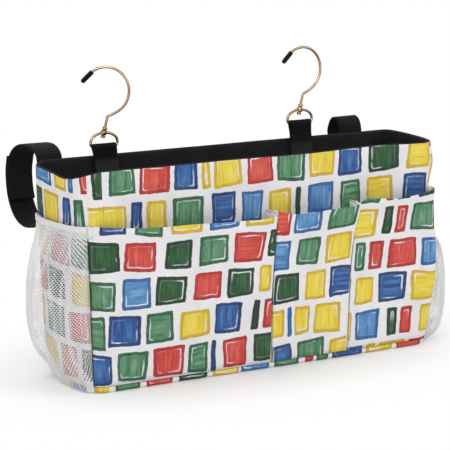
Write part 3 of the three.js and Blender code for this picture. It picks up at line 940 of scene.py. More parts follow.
def stitchRows(name, lines, finish, size=stitchSize):
    # sewn thread: each line is (points, direction out of the cloth), and each stitch a small bead along it
    points, faces, cloth = [], [], []
    for line, out in lines:
        steps = lengthsAlong(line)
        count = int(steps[-1] / size["pitch"])
        first = (steps[-1] - count * size["pitch"] + size["pitch"] - size["length"]) / 2
        for s in range(count):
            start, end = (placeAt(line, steps, first + s * size["pitch"] + d) for d in (0, size["length"]))
            ahead = (end - start).normalized()
            away = Vector(out)
            away = (away - ahead * away.dot(ahead)).normalized()
            base = len(points)
            for t, swell, sink in stitchForm:
                centre = start.lerp(end, t) + away * (size["radius"] * (0.55 - sink))
                points += circled(centre, away, ahead.cross(away), size["radius"] * swell, 6)
            faces += [tuple(base + v for v in face) for face in ringFaces(len(stitchForm), 6)]
            for low in range(s * 3, s * 3 + len(stitchForm) - 1):
                cloth += [((k, low), (k + 1, low), (k + 1, low + 1), (k, low + 1)) for k in range(6)]
            cloth += [[(k, s * 3) for k in range(6)]] * 2
    return fixDirection(newPiece(name, points, faces, cloth, finish))


# Bag cover and lining, each one lofted shell

# depth under the outer face and height, from the middle of the base up and over the rim
baseProfile = [(3.6, 0.05), (1.9, 0.25), (0.6, 1.0), (-0.15, 2.2), (-0.4, 3.5), (-0.2, 4.8), (0.35, 5.7),
               (1.3, 6.1)]
coverProfile = [(1.5, 5.4), (0.8, 6.0), (0.25, 6.6), (0.02, 7.6)]
coverProfile += [(0.0, mix(10, 188, k / 22)) for k in range(23)]
coverProfile += [(0.0, 191.0), (0.0, 193.4), (0.06, 194.6), (0.3, 195.3), (0.7, 195.5)]
liningProfile = [(9.0, 4.2), (6.4, 5.0), (5.2, 6.4), (4.6, 8.6)]
liningProfile += [(4.4, mix(12, 186, k / 20)) for k in range(21)]
liningProfile += [(4.3, 190.0), (4.2, 193.0), (4.0, 194.6), (3.5, 195.6), (2.7, 196.1), (1.7, 196.2),
                  (0.9, 196.1), (0.4, 195.75)]
# stations round a corner, close together at the seam in its middle
cornerShares = [0.1, 0.2, 0.3, 0.4, 0.45, 0.475, 0.5, 0.525, 0.55, 0.6, 0.7, 0.8, 0.9, 1.0]


def wallStations(walls, ends):
    stations = [0.0]
    for part in range(8):
        count = walls if part % 4 == 0 else ends
        shares = cornerShares if part % 2 else [(k + 1) / count for k in range(count)]
        stations += [part + share for share in shares]
    return stations[:-1]


def rimHeight(station):
    x, y = planPoint(station)
    stations, heights = zip(*bag["rimLine"])
    near = [np.interp((station + step) % 8, stations, heights) for step in (-0.05, 0, 0.05)]
    wave, size = bag["rimWave"]
    return sum(near) / 3 + wave * cloudy(x, y, 0, size, 2.0)


def drawnUp(station, z):
    middle, reach = bag["drawnStation"]
    share = bump(station - middle, reach) * (1 - ease(0, bag["drawnBelow"], z))
    return [amount * share for amount in bag["cornerDraw"]]


def clothWave(point, seed):
    # shallow wrinkles of cloth on a board, slanted ones and broad ones
    (x, y, z), ((slanted, small), (broad, large)) = point, bag["wrinkleKinds"]
    first = cloudy(x + bag["wrinkleSlant"] * z, y, z * bag["wrinkleSquash"], small, seed)
    return bag["wrinkle"] * (slanted * first + broad * cloudy(x, y, z, large, seed + 5))


def seamDip(station):
    dips = []
    for seam in (1.5, 3.5, 5.5, 7.5):
        radius = bag["frontCorner"] if seam in (1.5, 7.5) else bag["backCorner"]
        dips.append(bump(abs(station - seam) * radius * math.pi / 2, bag["seamWidth"]))
    return max(dips) * bag["cornerSeam"]


def wallRelief(station, point, inside):
    # how far in wrinkles, corner seams and the bulge of the right end move a point of the wall
    z = point.z
    rise = ease(bag["rimFrom"], bag["height"], z)
    wave = clothWave(point, 4.0 if inside else 1.0) * ease(*bag["wrinkleRise"], z)
    wave *= 1.35 - bag["wrinkleFade"] * rise
    if inside:
        return abs(wave) * 1.6 * (1 - bag["liningFade"] * rise) + 0.1
    # the front wall lies smooth behind its pockets
    atFront = bag["behindPockets"] if station < 1.45 or station > 7.55 else 1.0
    strength = mix(atFront, 1.0, ease(*bag["pocketTops"], z))
    low, high = bag["seamReach"]
    seam = seamDip(station) * ease(*low, z) * (1 - ease(*high, z))
    (height, tall), (middle, reach) = bag["bulgeHeight"], bag["bulgeStation"]
    return seam - wave * strength - bag["endBulge"] * bump(z - height, tall) * bump(station - middle, reach)


def spineX(station):
    # where the cloth of the floor meets in the middle, so that the front half joins the back half
    along, end = station % 8, bag["floorHalfSpine"]
    if along <= 1:
        return mix(-end, end, along)
    if 4 <= along <= 5:
        return mix(end, -end, along - 4)
    return end if along < 4 else -end


def rimmedPoint(station, frameAt, depth, z):
    # a point of the wall that follows the rim and the drawn-up corner
    up, inward = drawnUp(station, z)
    point = wallPoint(frameAt, depth + inward, z)
    point.z += rimHeight(station) * ease(bag["rimFrom"], bag["height"], z) + up
    return point


def shellColumns(profile, stations, floorRows=0, floorHeight=0.0, inside=False):
    # a column of points at each station: the floor from its middle outwards, then up the profile
    columns, places = [], []
    around = lengthsAlong([planPoint(s) for s in stations] + [planPoint(0)])
    for station, length in zip(stations + stations[:1], around):
        frameAt, column = planFrame(station), []
        depth, low = profile[0]
        up, inward = drawnUp(station, low)
        edge = wallPoint(frameAt, depth + inward, low + up)
        spine = Vector((spineX(station), 0, floorHeight))
        for k in range(floorRows):
            share = (k / floorRows) ** 0.8
            point = spine.lerp(Vector((edge.x, edge.y, mix(floorHeight, edge.z, ease(0.7, 1, share)))), share)
            if inside:
                sag = bag["floorSag"] * cloudy(point.x, point.y, 0, bag["floorSagSize"], 9.0)
                point.z += sag * (1 - share) + bag["liningLift"]
            column.append(point)
        for depth, z in profile:
            depth += wallRelief(station, wallPoint(frameAt, depth, z), inside) if len(profile) > 1 else 0
            column.append(rimmedPoint(station, frameAt, depth, z))
        columns.append(column)
        place = [(point.x + 700, point.y - 300) for point in column[:floorRows]]
        places.append(place + [(length, climb) for climb in lengthsAlong(column[floorRows:])])
    return columns[:-1], places


def buildBag():
    stations = wallStations(58, 15)
    columns, places = shellColumns(coverProfile, stations)
    panels = [bag["panelShift"][int((station + 0.5) / 2) % 4] for station in stations]
    cover = clothPiece("bagCover", columns, places, "wallPrint", bag["cover"], True, panels)
    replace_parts(cover, "cover_front", "cover_right_end", "cover_back", "cover_left_end")
    columns, places = shellColumns(baseProfile, stations, bag["floorRows"])
    base = clothPiece("bagBase", columns, places, "basePrint", bag["cover"], True)
    closeFloor(base)
    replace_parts(base, "cover_base")
    columns, places = shellColumns(liningProfile, wallStations(44, 12), bag["floorRows"], 3.6, inside=True)
    # the lining faces into the bag, so its columns run the other way
    lining = clothPiece("bagLining", columns[::-1], places[::-1], "blackLining", bag["lining"], True)
    closeFloor(lining)
    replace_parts(lining, "lining_wall", "lining_base")
    return cover, base, lining


bagCover, bagBase, bagLining = buildBag()
print("bag cover, base and lining built")


# Front pockets, folded straight out from the wall at the seams between them

pockets = {
    "thickness": 0.75,
    "wallGap": 0.45,
    "bottom": 6.3,
    "bottomProud": 1.4,
    "names": ["Left", "Middle", "Right"],
    "proud": [19, 20, 15],
    # how late each pocket leaves the wall on its way up, at its left and right ends
    "flare": [(1.1, 1.6), (1.6, 3.7), (3.7, 0.8)],
    # start and end of each pocket, in millimetres from the left end of the front wall
    "reach": [(-13.3, 168.2), (168.8, 260.9), (261.5, 354.3)],
    # distance from the pocket's edge and share of the stand-off there
    "slope": [(0, 0), (9, 0.16), (20, 0.4), (34.5, 0.68), (52.6, 0.9), (73, 1)],
    "fold": [(0, 0), (0.8, 0.3), (1, 0.6), (0.35, 0.9), (0.55, 0.985), (3.6, 1)],
    "shoulder": [(0, 0), (2, 0.25), (5, 0.5), (9, 0.72), (14, 0.88), (20, 0.97), (27, 1)],
    "edges": [("slope", "fold"), ("fold", "fold"), ("fold", "shoulder")],
    # the seam between the left and middle pockets leans; the mouth is higher where a fold meets the wall
    "seamLean": [(0, 6), (6, 0), (0, 0)],
    "wallRise": [(0, 3.1), (-1, 1), (1.6, 0)],
    "wallRiseReach": 4,
    # height of the mouth along each pocket
    "mouth": [
        [(-13.3, 150.1), (-2.4, 149.4), (14, 148.1), (41, 147), (77, 146.7), (114, 145.2), (141, 144.2),
         (150, 143.9), (157, 144.4), (163, 145), (168.2, 145.2)],
        [(168.8, 149.6), (171.5, 149), (174.3, 148.2), (178, 147.3), (187, 145.8), (196.4, 145.4),
         (205.6, 145.1), (214.8, 145.5), (224, 146.3), (233.3, 146.6), (242.5, 146.7), (249, 147),
         (255, 147.8), (260.9, 148)],
        [(261.5, 147.4), (264, 148.6), (267, 150.6), (270.8, 151.6), (276, 151.3), (289.4, 150),
         (298.6, 149.3), (307.9, 148.6), (317, 149.2), (326.5, 150), (335.8, 151), (345, 152.6), (354.3, 153)],
    ],
    # the net draws the right pocket's end outwards: by how much, at which height and how far from the end
    "netPull": 8,
    "pullHeight": (74, 50),
    "pullReach": (6, 8),
    # over the mouth and down inside as a hem: further in and lower by
    "hem": [(0.35, -0.4), (0.85, -0.35), (1.25, 0.4), (1.4, 2.0), (1.6, 6.0), (1.7, 11.0)],
    "rows": 30,
    "across": [120, 96, 86],
    # waves of the cloth: depth, then size and share of the broad and the slanted ones
    "wave": [1.5, 1.3, 1.2],
    "waveKinds": [(34, 1), (15, 0.4)],
    "waveSlant": 0.5,
    "waveSquash": 0.45,
    # near its seams the pocket is held to the wall: up to this share of its stand-off and of its height
    "sewnShare": 1 / 6,
    "tuck": (0.25, 0.05),
    "clothShift": (40, 13),
    "flat": [(0.195, 0.155), (0.115, 0.155), (0.11, 0.157)],
}
wallRun = 2 * (bag["halfLength"] - bag["frontCorner"])
cornerRun = bag["frontCorner"] * math.pi / 2


def stationAt(along):
    # the corners are much shorter than the wall between them
    if 0 <= along <= wallRun:
        return along / wallRun
    return along / cornerRun if along < 0 else 1 + (along - wallRun) / cornerRun


def pocketOutline(index, share):
    # (millimetres along the wall, share of the stand-off) across the pocket at one height
    p = pockets
    start, end = (at + lean * (1 - share) for at, lean in zip(p["reach"][index], p["seamLean"][index]))
    left, right = (p[name] for name in p["edges"][index])
    line = [(start + away, stand) for away, stand in left]
    line.append(((line[-1][0] + end - right[-1][0]) / 2, 1.0))
    return line + [(end - away, stand) for away, stand in right[::-1]]


def pocketPoint(index, along, standShare, top, share, further, lower):
    p = pockets
    start, end = p["reach"][index]
    for edge, riseAtWall in zip((start, end), p["wallRise"][index]):
        top += riseAtWall * (1 - standShare) * bump(along - edge, p["wallRiseReach"])
    z = mix(p["bottom"], top, share) - lower
    rise = min((z - p["bottom"]) / (top - p["bottom"]), 1)
    flare = mix(*p["flare"][index], min(max((along - start) / (end - start), 0), 1))
    proud = mix(p["bottomProud"], p["proud"][index], rise ** flare) * standShare
    sewn = min(standShare / p["sewnShare"], 1.0)
    tightness, tuckRise = p["tuck"]
    tuck = mix(tightness, 1, ease(0.0, tuckRise, rise))
    stand = p["wallGap"] + (p["thickness"] + proud) * tuck * sewn
    if index == 2:
        (height, tall), (fromEnd, reach) = p["pullHeight"], p["pullReach"]
        stand += p["netPull"] * bump(z - height, tall) * bump(end - fromEnd - along, reach) * sewn
    (large, broad), (small, slanted) = p["waveKinds"]
    sway = broad * cloudy(along, 0, z * p["waveSquash"], large, 1.5 + index)
    sway += slanted * cloudy(along + z * p["waveSlant"], 0, z, small, 4 + index)
    sway *= p["wave"][index] * ease(0.02, 0.3, rise) * ease(0.05, 0.3, standShare)
    return wallPoint(planFrame(stationAt(along)), (further - sway) * sewn - stand, z)


def buildPocket(index):
    p = pockets
    mouth = smoothPath(p["mouth"][index], 120)
    mouthRun, mouthHeights = [m.x for m in mouth], [m.y for m in mouth]
    rowList = [(k / p["rows"], 0.0, 0.0) for k in range(p["rows"] + 1)] + [(1.0, *hem) for hem in p["hem"]]
    proudest, grid = p["proud"][index], []
    for share, further, lower in rowList:
        outline = [(along, stand * proudest) for along, stand in pocketOutline(index, share)]
        path = smoothPath(outline, p["across"][index])
        tops = np.interp([point.x for point in path], mouthRun, mouthHeights)
        grid.append([pocketPoint(index, point.x, point.y / proudest, top, share, further, lower)
                     for point, top in zip(path, tops)])
    mouthSteps = lengthsAlong(grid[p["rows"]])
    columns = [list(column) for column in zip(*grid)]
    right, up = (shift * index for shift in p["clothShift"])
    places = [[(step + right, climb + up) for climb in lengthsAlong(column)]
              for step, column in zip(mouthSteps, columns)]
    name = p["names"][index]
    piece = clothPiece("frontPocket" + name, columns, places, "pocketPrint" + name, p["thickness"])
    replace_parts(piece, "front_pocket_" + name.lower())


for index in range(3):
    buildPocket(index)
print("front pockets built")


# Net pockets and their elastic bindings

nets = {
    "wallGap": 0.5,
    "top": 143.3,
    "bottom": 1.5,
    # how far each net stands out by height, and how soon it does so from its sides
    "belly": {
        "left": [(1.5, 0.3), (5, 2), (15, 8.5), (28, 16.4), (49, 23.5), (69, 25.5), (93, 23.4), (116, 16),
                 (137, 7.3), (152, 2.5)],
        "right": [(1.5, 0.3), (4, 9), (10, 17), (20, 23), (31, 25.6), (60, 26.2), (80, 23.5), (93, 19.5),
                  (102, 14), (116, 9), (137, 4.5), (152, 2.5)],
    },
    "acrossPower": {"left": 0.42, "right": 0.27},
    "seed": {"left": 1.0, "right": 6.0},
    "stations": {"left": (5.5, 7.46), "right": (1.54, 3.5)},
    "width": 84,
    "columns": 110,
    "rows": 64,
    "gather": 0.85,
    "gatherPitch": 5.2,
    "gatherFade": 34,
    "gatherWander": (3.0, 30),
    "gatherSpread": (0.45, 0.55, 9),
    # one soft upright fold: depth, width, and its place across from the bottom to the top, with a slight sway
    "crease": 2.6,
    "creaseWidth": 4.5,
    "creasePlace": (0.42, 0.52),
    "creaseSway": (0.02, 6),
    "softness": (1.5, 32),
    # shares across and up within which each fold grows from the seams
    "fromSide": (0.03, 0.15),
    "creaseFrom": (0.05, 0.35),
    "softFrom": (0.02, 0.2),
    # the power of the net's outline where it lies flat, and the stand-off from which it is at its roundest
    "flatPower": 0.9,
    "roundFrom": 16,
    "leastStand": 0.1,
    "bindingHeight": 6.0,
    "bindingThickness": 1.1,
    "bindingRise": 3.3,
    # its surface: ripples of pulled elastic, unevenness and a groove along its middle, each depth and size
    "bindingRelief": [(0.12, 4.1), (0.25, 11), (0.3, 0.8)],
    "stitchRise": 1.3,
    "flat": (0.115, 0.16),
}
bellyCurves = {}
for side in sides:
    curve = smoothPath(nets["belly"][side], 90)
    bellyCurves[side] = [p.x for p in curve], [p.y for p in curve]


def netPoint(station, share, z, side, lift=0.0):
    n, seed = nets, nets["seed"][side]
    belly = np.interp(z, *bellyCurves[side])
    power = mix(n["flatPower"], n["acrossPower"][side], min(belly / n["roundFrom"], 1))
    across = max(math.sin(math.pi * share), 0) ** power
    rise = min(max((z - n["bottom"]) / (n["top"] - n["bottom"]), 0), 1)
    x = share * n["width"]
    # gathers under the binding, one soft upright crease where the net folds, and slack between them
    fade = math.exp(min(z - n["top"], 0) / n["gatherFade"])
    fade *= ease(*n["fromSide"], share) * ease(*n["fromSide"], 1 - share)
    (reach, size), (least, more, spread) = n["gatherWander"], n["gatherSpread"]
    wander = x + reach * cloudy(x, seed, z, size, seed)
    gather = n["gather"] * math.sin(fullTurn * wander / n["gatherPitch"]) * fade
    gather *= least + more * cloudy(x, 0, 0, spread, seed + 3)
    sway, turns = n["creaseSway"]
    fold = n["width"] * (mix(*n["creasePlace"], rise) + sway * math.sin(turns * rise))
    crease = -n["crease"] * bump(x - fold, n["creaseWidth"]) * ease(*n["creaseFrom"], rise) * (1.25 - rise)
    depth, size = n["softness"]
    soft = depth * cloudy(x, z, seed * 9, size, seed) * across * ease(*n["softFrom"], rise)
    ripple = (gather + crease + soft) * across
    up, inward = drawnUp(station, z)
    stand = n["wallGap"] + max(belly * across + ripple, n["leastStand"]) + lift
    return wallPoint(planFrame(station), inward - stand, z + up)


def bindingRelief(length, up):
    (ripple, pitch), (wave, size), (groove, width) = nets["bindingRelief"]
    even = ripple * math.sin(fullTurn * length / pitch) - groove * bump(up, width)
    return even + wave * cloudy(length, up, 0, size)


def buildNet(side):
    n, name = nets, side.capitalize()
    stations = [mix(*n["stations"][side], k / n["columns"]) for k in range(n["columns"] + 1)]
    run = lengthsAlong([planPoint(s) for s in stations])
    # shares run from the front, so that both nets hang alike
    shares = [length / run[-1] if side == "right" else 1 - length / run[-1] for length in run]
    heights = [mix(n["bottom"], n["top"] + 3, j / n["rows"]) for j in range(n["rows"] + 1)]
    columns = [[netPoint(station, share, z, side) for z in heights] for station, share in zip(stations, shares)]
    rowRuns = [lengthsAlong(row) for row in zip(*columns)]
    places = []
    for i, column in enumerate(columns):
        across = [rowRun[i] - rowRun[-1] / 2 + netHoles["middle"] for rowRun in rowRuns]
        places.append(list(zip(across, lengthsAlong(column))))
    net = clothPiece("netPocket" + name, columns, places, "whiteNet")
    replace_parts(net, "net_pocket_" + side)

    # elastic sewn over the net's edge
    middle = n["top"] + n["bindingRise"]
    path = [netPoint(station, share, middle, side, n["bindingThickness"] / 2 - 0.2)
            for station, share in zip(stations, shares)]
    upwards = Vector((0, 0, 1))
    out = [ahead.cross(upwards).normalized() for ahead in headings(path)]
    binding = stripPiece("netBinding" + name, path, [upwards] * len(path), out, n["bindingHeight"],
                         n["bindingThickness"], "whiteElastic", "bag", 14, bindingRelief)
    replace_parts(binding, "net_binding_" + side)
    lower = n["bindingHeight"] / 2 - n["stitchRise"]
    line = [p + away * (n["bindingThickness"] / 2 + 0.1) - upwards * lower for p, away in zip(path, out)]
    sewing = stitchRows("bindingStitches" + name, [(line[3:-3], (-1 if side == "left" else 1, 0, 0))],
                        "whiteThread", fineStitch)


for side in sides:
    buildNet(side)
print("net pockets built")


# Webbing tabs inside the back wall, folded round the rings' bars

def webbingStrip(name, line, xAt, width, thickness, finish, body, lift=None):
    # a strip that runs along a line of (y, z), at the x given for each z
    path = [Vector((xAt(point.y), point.x, point.y)) for point in line]
    out = [Vector((0, -ahead.y, ahead.x)) for ahead in headings(line)]
    across = [Vector((1, 0, 0))] * len(path)
    return stripPiece(name, path, across, out, width, thickness, finish, body, shape=lift)


tabs = {
    "x": [-123, 84.5],
    "y": 38.15,
    "top": [12, 18.4],
    "legDepth": 46,
    "neck": 4,
    "neckShare": 0.55,
    "legTop": 9,
    "webbing": 23.6,
    "thickness": 1.25,
    "clearance": 0.2,
    "skew": [0.16, 0.1],
    "barRise": -3.2,
    "rows": 90,
    "waviness": (0.12, 9),
    "rimStitches": 7,
    "stitchHalfWidth": 9.5,
    "stitchBox": (3, 24),
    "flat": [(0.025, 0.136), (0.025, 0.149)],
}
ringSize = {
    "wire": 2.4,
    "crownRise": 12.1,
    "outerWidth": 29.2,
    "archRise": 8.2,
    "corner": 2.4,
    "archPoints": 8,
    "rows": 150,
}


def barHeight(index):
    return bag["height"] + tabs["top"][index] + tabs["barRise"]


def buildTab(index, side):
    t, name = tabs, side.capitalize()
    bar, bottom = barHeight(index), bag["height"] - t["legDepth"]
    leg = (t["clearance"] + t["thickness"]) / 2
    loop = ringSize["wire"] / 2 + t["clearance"] + t["thickness"] / 2
    heights = [mix(bottom, bar - t["legTop"], k / 6) for k in range(7)] + [bar - t["neck"]]
    aside = [leg] * 7 + [mix(leg, loop, t["neckShare"])]
    line = [(t["y"] - a, z) for a, z in zip(aside, heights)]
    line += [(t["y"] - loop * math.cos(a), bar + loop * math.sin(a)) for a in np.linspace(0, math.pi, 9)]
    line += [(t["y"] + a, z) for a, z in zip(aside[::-1], heights[::-1])]
    xAt = lambda z: t["x"][index] + (bar - z) * t["skew"][index]
    wave, size = t["waviness"]
    lift = lambda length, a: wave * cloudy(length, a, index, size, 2.0)
    piece = webbingStrip("hookTab" + name, smoothPath(line, t["rows"]), xAt, t["webbing"], t["thickness"],
                         "tabWebbing", "bag", lift)
    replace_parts(piece, "hook_tab_" + side)

    # a row of stitches at the rim, and the box that holds both legs to the back wall
    half, (low, high), out = t["stitchHalfWidth"], t["stitchBox"], (0, -1, 0)
    front = t["y"] - leg - t["thickness"] / 2
    at = lambda a, z: Vector((xAt(z) + a, front, z))
    rim = bag["height"] - t["rimStitches"]
    lines = [([at(-half, rim), at(half, rim)], out)] + boxLines(at, half, bottom + low, bottom + high, out)
    stitches = stitchRows("hookTabStitches" + name, lines, "blackThread")


# D-rings, swivels and hooks of bent wire

swivel = {
    "turn": [-30, 1],
    "lean": 13,
    "wire": 2.3,
    "boreClearance": 0.25,
    "bossRadius": 2.6,
    "bossHeight": 4,
    "bossEdge": 0.45,
    "wireOverlap": 0.55,
    "headGap": 0.5,
    "headHeight": 2.2,
    # radius and height of the round head on the post, below the ring
    "headForm": [(0.9, 0.0), (1.5, 0.15), (2.0, 0.5), (2.2, 1.0), (2.2, 1.5), (1.9, 1.95), (1.4, 2.2),
                 (0.9, 2.2)],
    "collarRadius": 2.1,
    "collarHeight": 2.6,
    "collarGap": 0.5,
    "collarEdge": 0.5,
    "kinkRise": 14.2,
    "kinkReach": 1.6,
    "crookCentre": (2.5, 37.9),
    "crookHalfWidth": 20.5,
    "crookHalfHeight": 21.3,
    "crookStart": -58,
    "crookEnd": 127,
    "crookPoints": 16,
    "rows": 170,
    "endBend": 8,
    "endLength": 13.6,
    "sleeveRadius": 2.1,
    "sleeveSwell": 0.05,
    "sleeveLip": (0.16, 0.6, 0.5),  # how high, where and how wide
    "sleeveRows": 26,
}


def crownPlace(index):
    return Vector((tabs["x"][index], tabs["y"], barHeight(index) + ringSize["crownRise"]))


def swivelAxis(index):
    lean, turn = math.radians(swivel["lean"]), math.radians(swivel["turn"][index])
    return Vector((math.sin(lean) * math.cos(turn), math.sin(lean) * math.sin(turn), math.cos(lean)))


def inHookPlane(index, x, z):
    turn = math.radians(swivel["turn"][index])
    return crownPlace(index) + Vector((x * math.cos(turn), x * math.sin(turn), z))


def roundedRing(inner, outer, low, high, edge):
    half = [(inner, edge), (inner + edge, 0), (outer - edge, 0), (outer - 0.12, edge * 0.35), (outer, edge)]
    return [(r, low + z) for r, z in half] + [(r, high - z) for r, z in half[::-1]]


def buildRing(index, side):
    r, s = ringSize, swivel
    crown = crownPlace(index)
    half, low, corner = (r["outerWidth"] - r["wire"]) / 2, -r["crownRise"], r["corner"]
    right = [(0.2, low), (half * 0.5, low), (half - corner, low), (half - corner * 0.3, low + corner * 0.3)]
    right.append((half, low + corner))
    for k in range(r["archPoints"]):
        a = math.pi / 2 * k / r["archPoints"]
        right.append((half * math.cos(a), mix(-r["archRise"], 0, math.sin(a))))
    points = right + [(0, 0)] + [(-x, z) for x, z in right[::-1]]
    path = [crown + Vector((p.x, 0, p.y)) for p in smoothPath(points, r["rows"])]
    bore, tall = s["wire"] / 2 + s["boreClearance"], s["bossHeight"] / 2
    eye = turned(roundedRing(bore, s["bossRadius"], -tall, tall, s["bossEdge"]), crown, swivelAxis(index), True)
    # the wire stops inside the eye's wall on each side of the bore
    inEye = [i for i, point in enumerate(path) if (point - crown).length < bore + s["wireOverlap"]]
    halves = [path[:inEye[0]], path[inEye[-1] + 1:]]
    first, second = (tube(part, [r["wire"] / 2] * len(part)) for part in halves)
    ring = joinedPiece("ringWire" + side.capitalize(), [first, eye, second], "roseGoldWire", "ring_" + side)
    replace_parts(ring, "d_ring_" + side)


def sleeveRadius(distance):
    # a rolled lip, a slight swell and a round tip
    s, radius = swivel, swivel["sleeveRadius"]
    left = s["endLength"] - distance
    if distance <= -0.1:
        return radius * 0.8
    if left < radius:
        return radius * math.sqrt(max(1 - (1 - left / radius) ** 2, 0.01))
    swell = 1 + s["sleeveSwell"] * math.sin(math.pi * distance / s["endLength"])
    height, place, width = s["sleeveLip"]
    return radius * swell + height * bump(distance - place, width)


def buildHook(index, side):
    s, name = swivel, side.capitalize()
    crown, axis, body = crownPlace(index), swivelAxis(index), "hook_" + side
    lean = math.radians(s["lean"])
    onStem = lambda height: (height * math.tan(lean), height)

    def crook(degrees):
        (x, z), a = s["crookCentre"], math.radians(degrees)
        return x + s["crookHalfWidth"] * math.cos(a), z + s["crookHalfHeight"] * math.sin(a)

    def onEnd(distance):
        (x, z), a = crook(s["crookEnd"]), math.radians(s["crookEnd"] + 90 + s["endBend"])
        return x + distance * math.cos(a), z + distance * math.sin(a)

    head = -s["bossHeight"] / 2 - s["headGap"] - s["headHeight"]
    stem, first = onStem(s["kinkRise"]), crook(s["crookStart"])
    points = [onStem(z) for z in (head + 0.4, 0, s["kinkRise"] / 2, s["kinkRise"] - s["kinkReach"])] + [stem]
    points.append((mix(stem[0], first[0], 0.4), mix(stem[1], first[1], 0.4)))
    points += [crook(degrees) for degrees in np.linspace(s["crookStart"], s["crookEnd"], s["crookPoints"] + 1)]
    points += [onEnd(s["endLength"] / 2), onEnd(s["endLength"] - 1.5)]
    path = [inHookPlane(index, p.x, p.y) for p in smoothPath(points, s["rows"])]
    foot = crown + axis * head / math.cos(lean)
    parts = [tube(path, [s["wire"] / 2] * len(path)), turned(s["headForm"], foot, axis)]
    wire = joinedPiece("hookWire" + name, parts, "roseGoldWire", body)
    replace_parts(wire, "hook_wire_" + side)

    low = s["bossHeight"] / 2 + s["collarGap"]
    form = roundedRing(s["wire"] / 2 + 0.1, s["collarRadius"], low, low + s["collarHeight"], s["collarEdge"])
    collar = joinedPiece("hookCollar" + name, [turned(form, crown, axis, True)], "roseGoldWire", body)
    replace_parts(collar, "hook_collar_" + side)

    stretch = np.linspace(-0.2, s["endLength"], s["sleeveRows"])
    path = [inHookPlane(index, *onEnd(d)) for d in stretch]
    sleeve = joinedPiece("hookSleeve" + name, [tube(path, [sleeveRadius(d) for d in stretch], 24)],
                         "blackRubber", body)
    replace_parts(sleeve, "hook_sleeve_" + side)


for index, side in enumerate(sides):
    buildRing(index, side)
    buildHook(index, side)
    buildTab(index, side)
print("tabs, rings and hooks built")


# Hook-and-loop straps on the back wall

straps = {
    "x": [-173, 148.5],
    "depthShare": [1, 0.38],
    "width": 25,
    "thickness": 1.5,
    "patchWidth": 21,
    "patchThickness": 0.9,
    "patchLength": 34,
    "patchGap": 0.3,
    "overlap": 44,
    "lowerRows": 96,
    "upperRows": 110,
    # distance from the wall of the sewn legs' middles; the lines are (y from the wall, z from the rim)
    "legLine": 1.35,
    "anchor": [(1.35, -32.4), (1.35, -44), (1.9, -51), (4.4, -57.4), (9, -61)],
    "flap": [(20, -64.2), (33, -65.4), (47, -63), (59, -56), (67, -45), (71, -30), (71, -17), (68, -6)],
    "upper": [
        [(1.35, -31.4), (1.35, -14), (1.6, -4), (3.6, 2.6), (9, 7), (17.5, 9.4), (28, 9.6), (40, 8.2),
         (51, 4.2), (59, -1)],
        [(1.35, -31.4), (1.35, -14), (1.45, -4), (2.3, 3.5), (4.8, 9.2), (9.3, 12.8), (14.5, 13.3),
         (19.3, 10.4), (22.6, 4.6), (24.2, -1)],
    ],
    # the hinge's distance from the wall, and how far before and after it the strap bends
    "hinge": 7.65,
    "hingeHeight": 135,
    "bend": [(5.0, 6.0), (2.0, 3.5)],
    "waviness": (0.22, 14),
    "edgeRipple": (0.1, 6),
    "stitchHalfWidth": 10,
    "stitchBoxes": [(-26, -10), (-43.5, -35)],
    "lowerFlat": [(0.025, 0.152), (0.025, 0.108)],
    "upperFlat": [(0.025, 0.15), (0.025, 0.124)],
}


def offLine(line, distance):
    return [p + Vector((-ahead.y, ahead.x, 0)) * distance for p, ahead in zip(line, headings(line))]


def lastPart(line, length):
    steps = lengthsAlong(line)
    return [p for p, at in zip(line, steps) if at >= steps[-1] - length]


def buildStraps(index, side):
    s, name = straps, side.capitalize()
    x, depthShare, wall = s["x"][index], s["depthShare"][index], bag["halfDepth"] + s["legLine"]

    def placed(line, share=1):
        return [(wall + (y - s["legLine"]) * share, bag["height"] + z) for y, z in line]

    def wavy(length, a):
        (wave, size), (ripple, pitch) = s["waviness"], s["edgeRipple"]
        edge = (abs(a) / (s["width"] / 2)) ** 3
        return wave * cloudy(length, a, index, size, 5.0) + ripple * edge * math.sin(length / pitch)

    def strap(title, line, body):
        return webbingStrip(title + name, line, lambda z: x, s["width"], s["thickness"], "blackWebbing", body,
                            wavy)

    def tape(title, away, body):
        path = offLine(patch, away)
        return webbingStrip(title + name, path, lambda z: x, s["patchWidth"], s["patchThickness"], title, body)

    lower = smoothPath(placed(s["anchor"] + s["flap"], depthShare), s["lowerRows"])
    patch = lastPart(lower, s["patchLength"])[1:-1]
    hookOff = s["thickness"] / 2 + s["patchGap"] + s["patchThickness"] / 2
    loopOff = hookOff + s["patchGap"] + s["patchThickness"]
    met = offLine(lastPart(lower, s["overlap"]), loopOff + hookOff)[::-1]
    upper = smoothPath(placed(s["upper"][index]) + [(p.x, p.y) for p in met[::3]], s["upperRows"])

    bottom = strap("strapLower", lower, None)
    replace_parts(bottom, "strap_anchor_" + side, "strap_flap_" + side)
    hinge, (before, after) = wall + s["hinge"] * depthShare, s["bend"][index]
    start, end = ((x * mm, y * mm, s["hingeHeight"] * mm) for y in (hinge - before, hinge + after))
    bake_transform(bottom)
    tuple(start)
    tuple(end)

    top = strap("strapUpper", upper, "bag")
    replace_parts(top, "strap_upper_" + side)
    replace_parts(tape("hookTape", hookOff, "flap_" + side), "strap_hook_patch_" + side)
    loops = tape("loopTape", loopOff, "bag")
    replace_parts(loops, "strap_loop_patch_" + side)

    # boxes of stitches where the legs are sewn to the wall
    face, lines = wall + s["thickness"] / 2 + 0.05, []
    for low, high in s["stitchBoxes"]:
        lines += boxLines(lambda a, z: Vector((x + a, face, bag["height"] + z)), s["stitchHalfWidth"],
                          low, high, (0, 1, 0))
    sewing = stitchRows("strapStitches" + name, lines, "blackThread")


for index, side in enumerate(sides):
    buildStraps(index, side)
print("straps built")
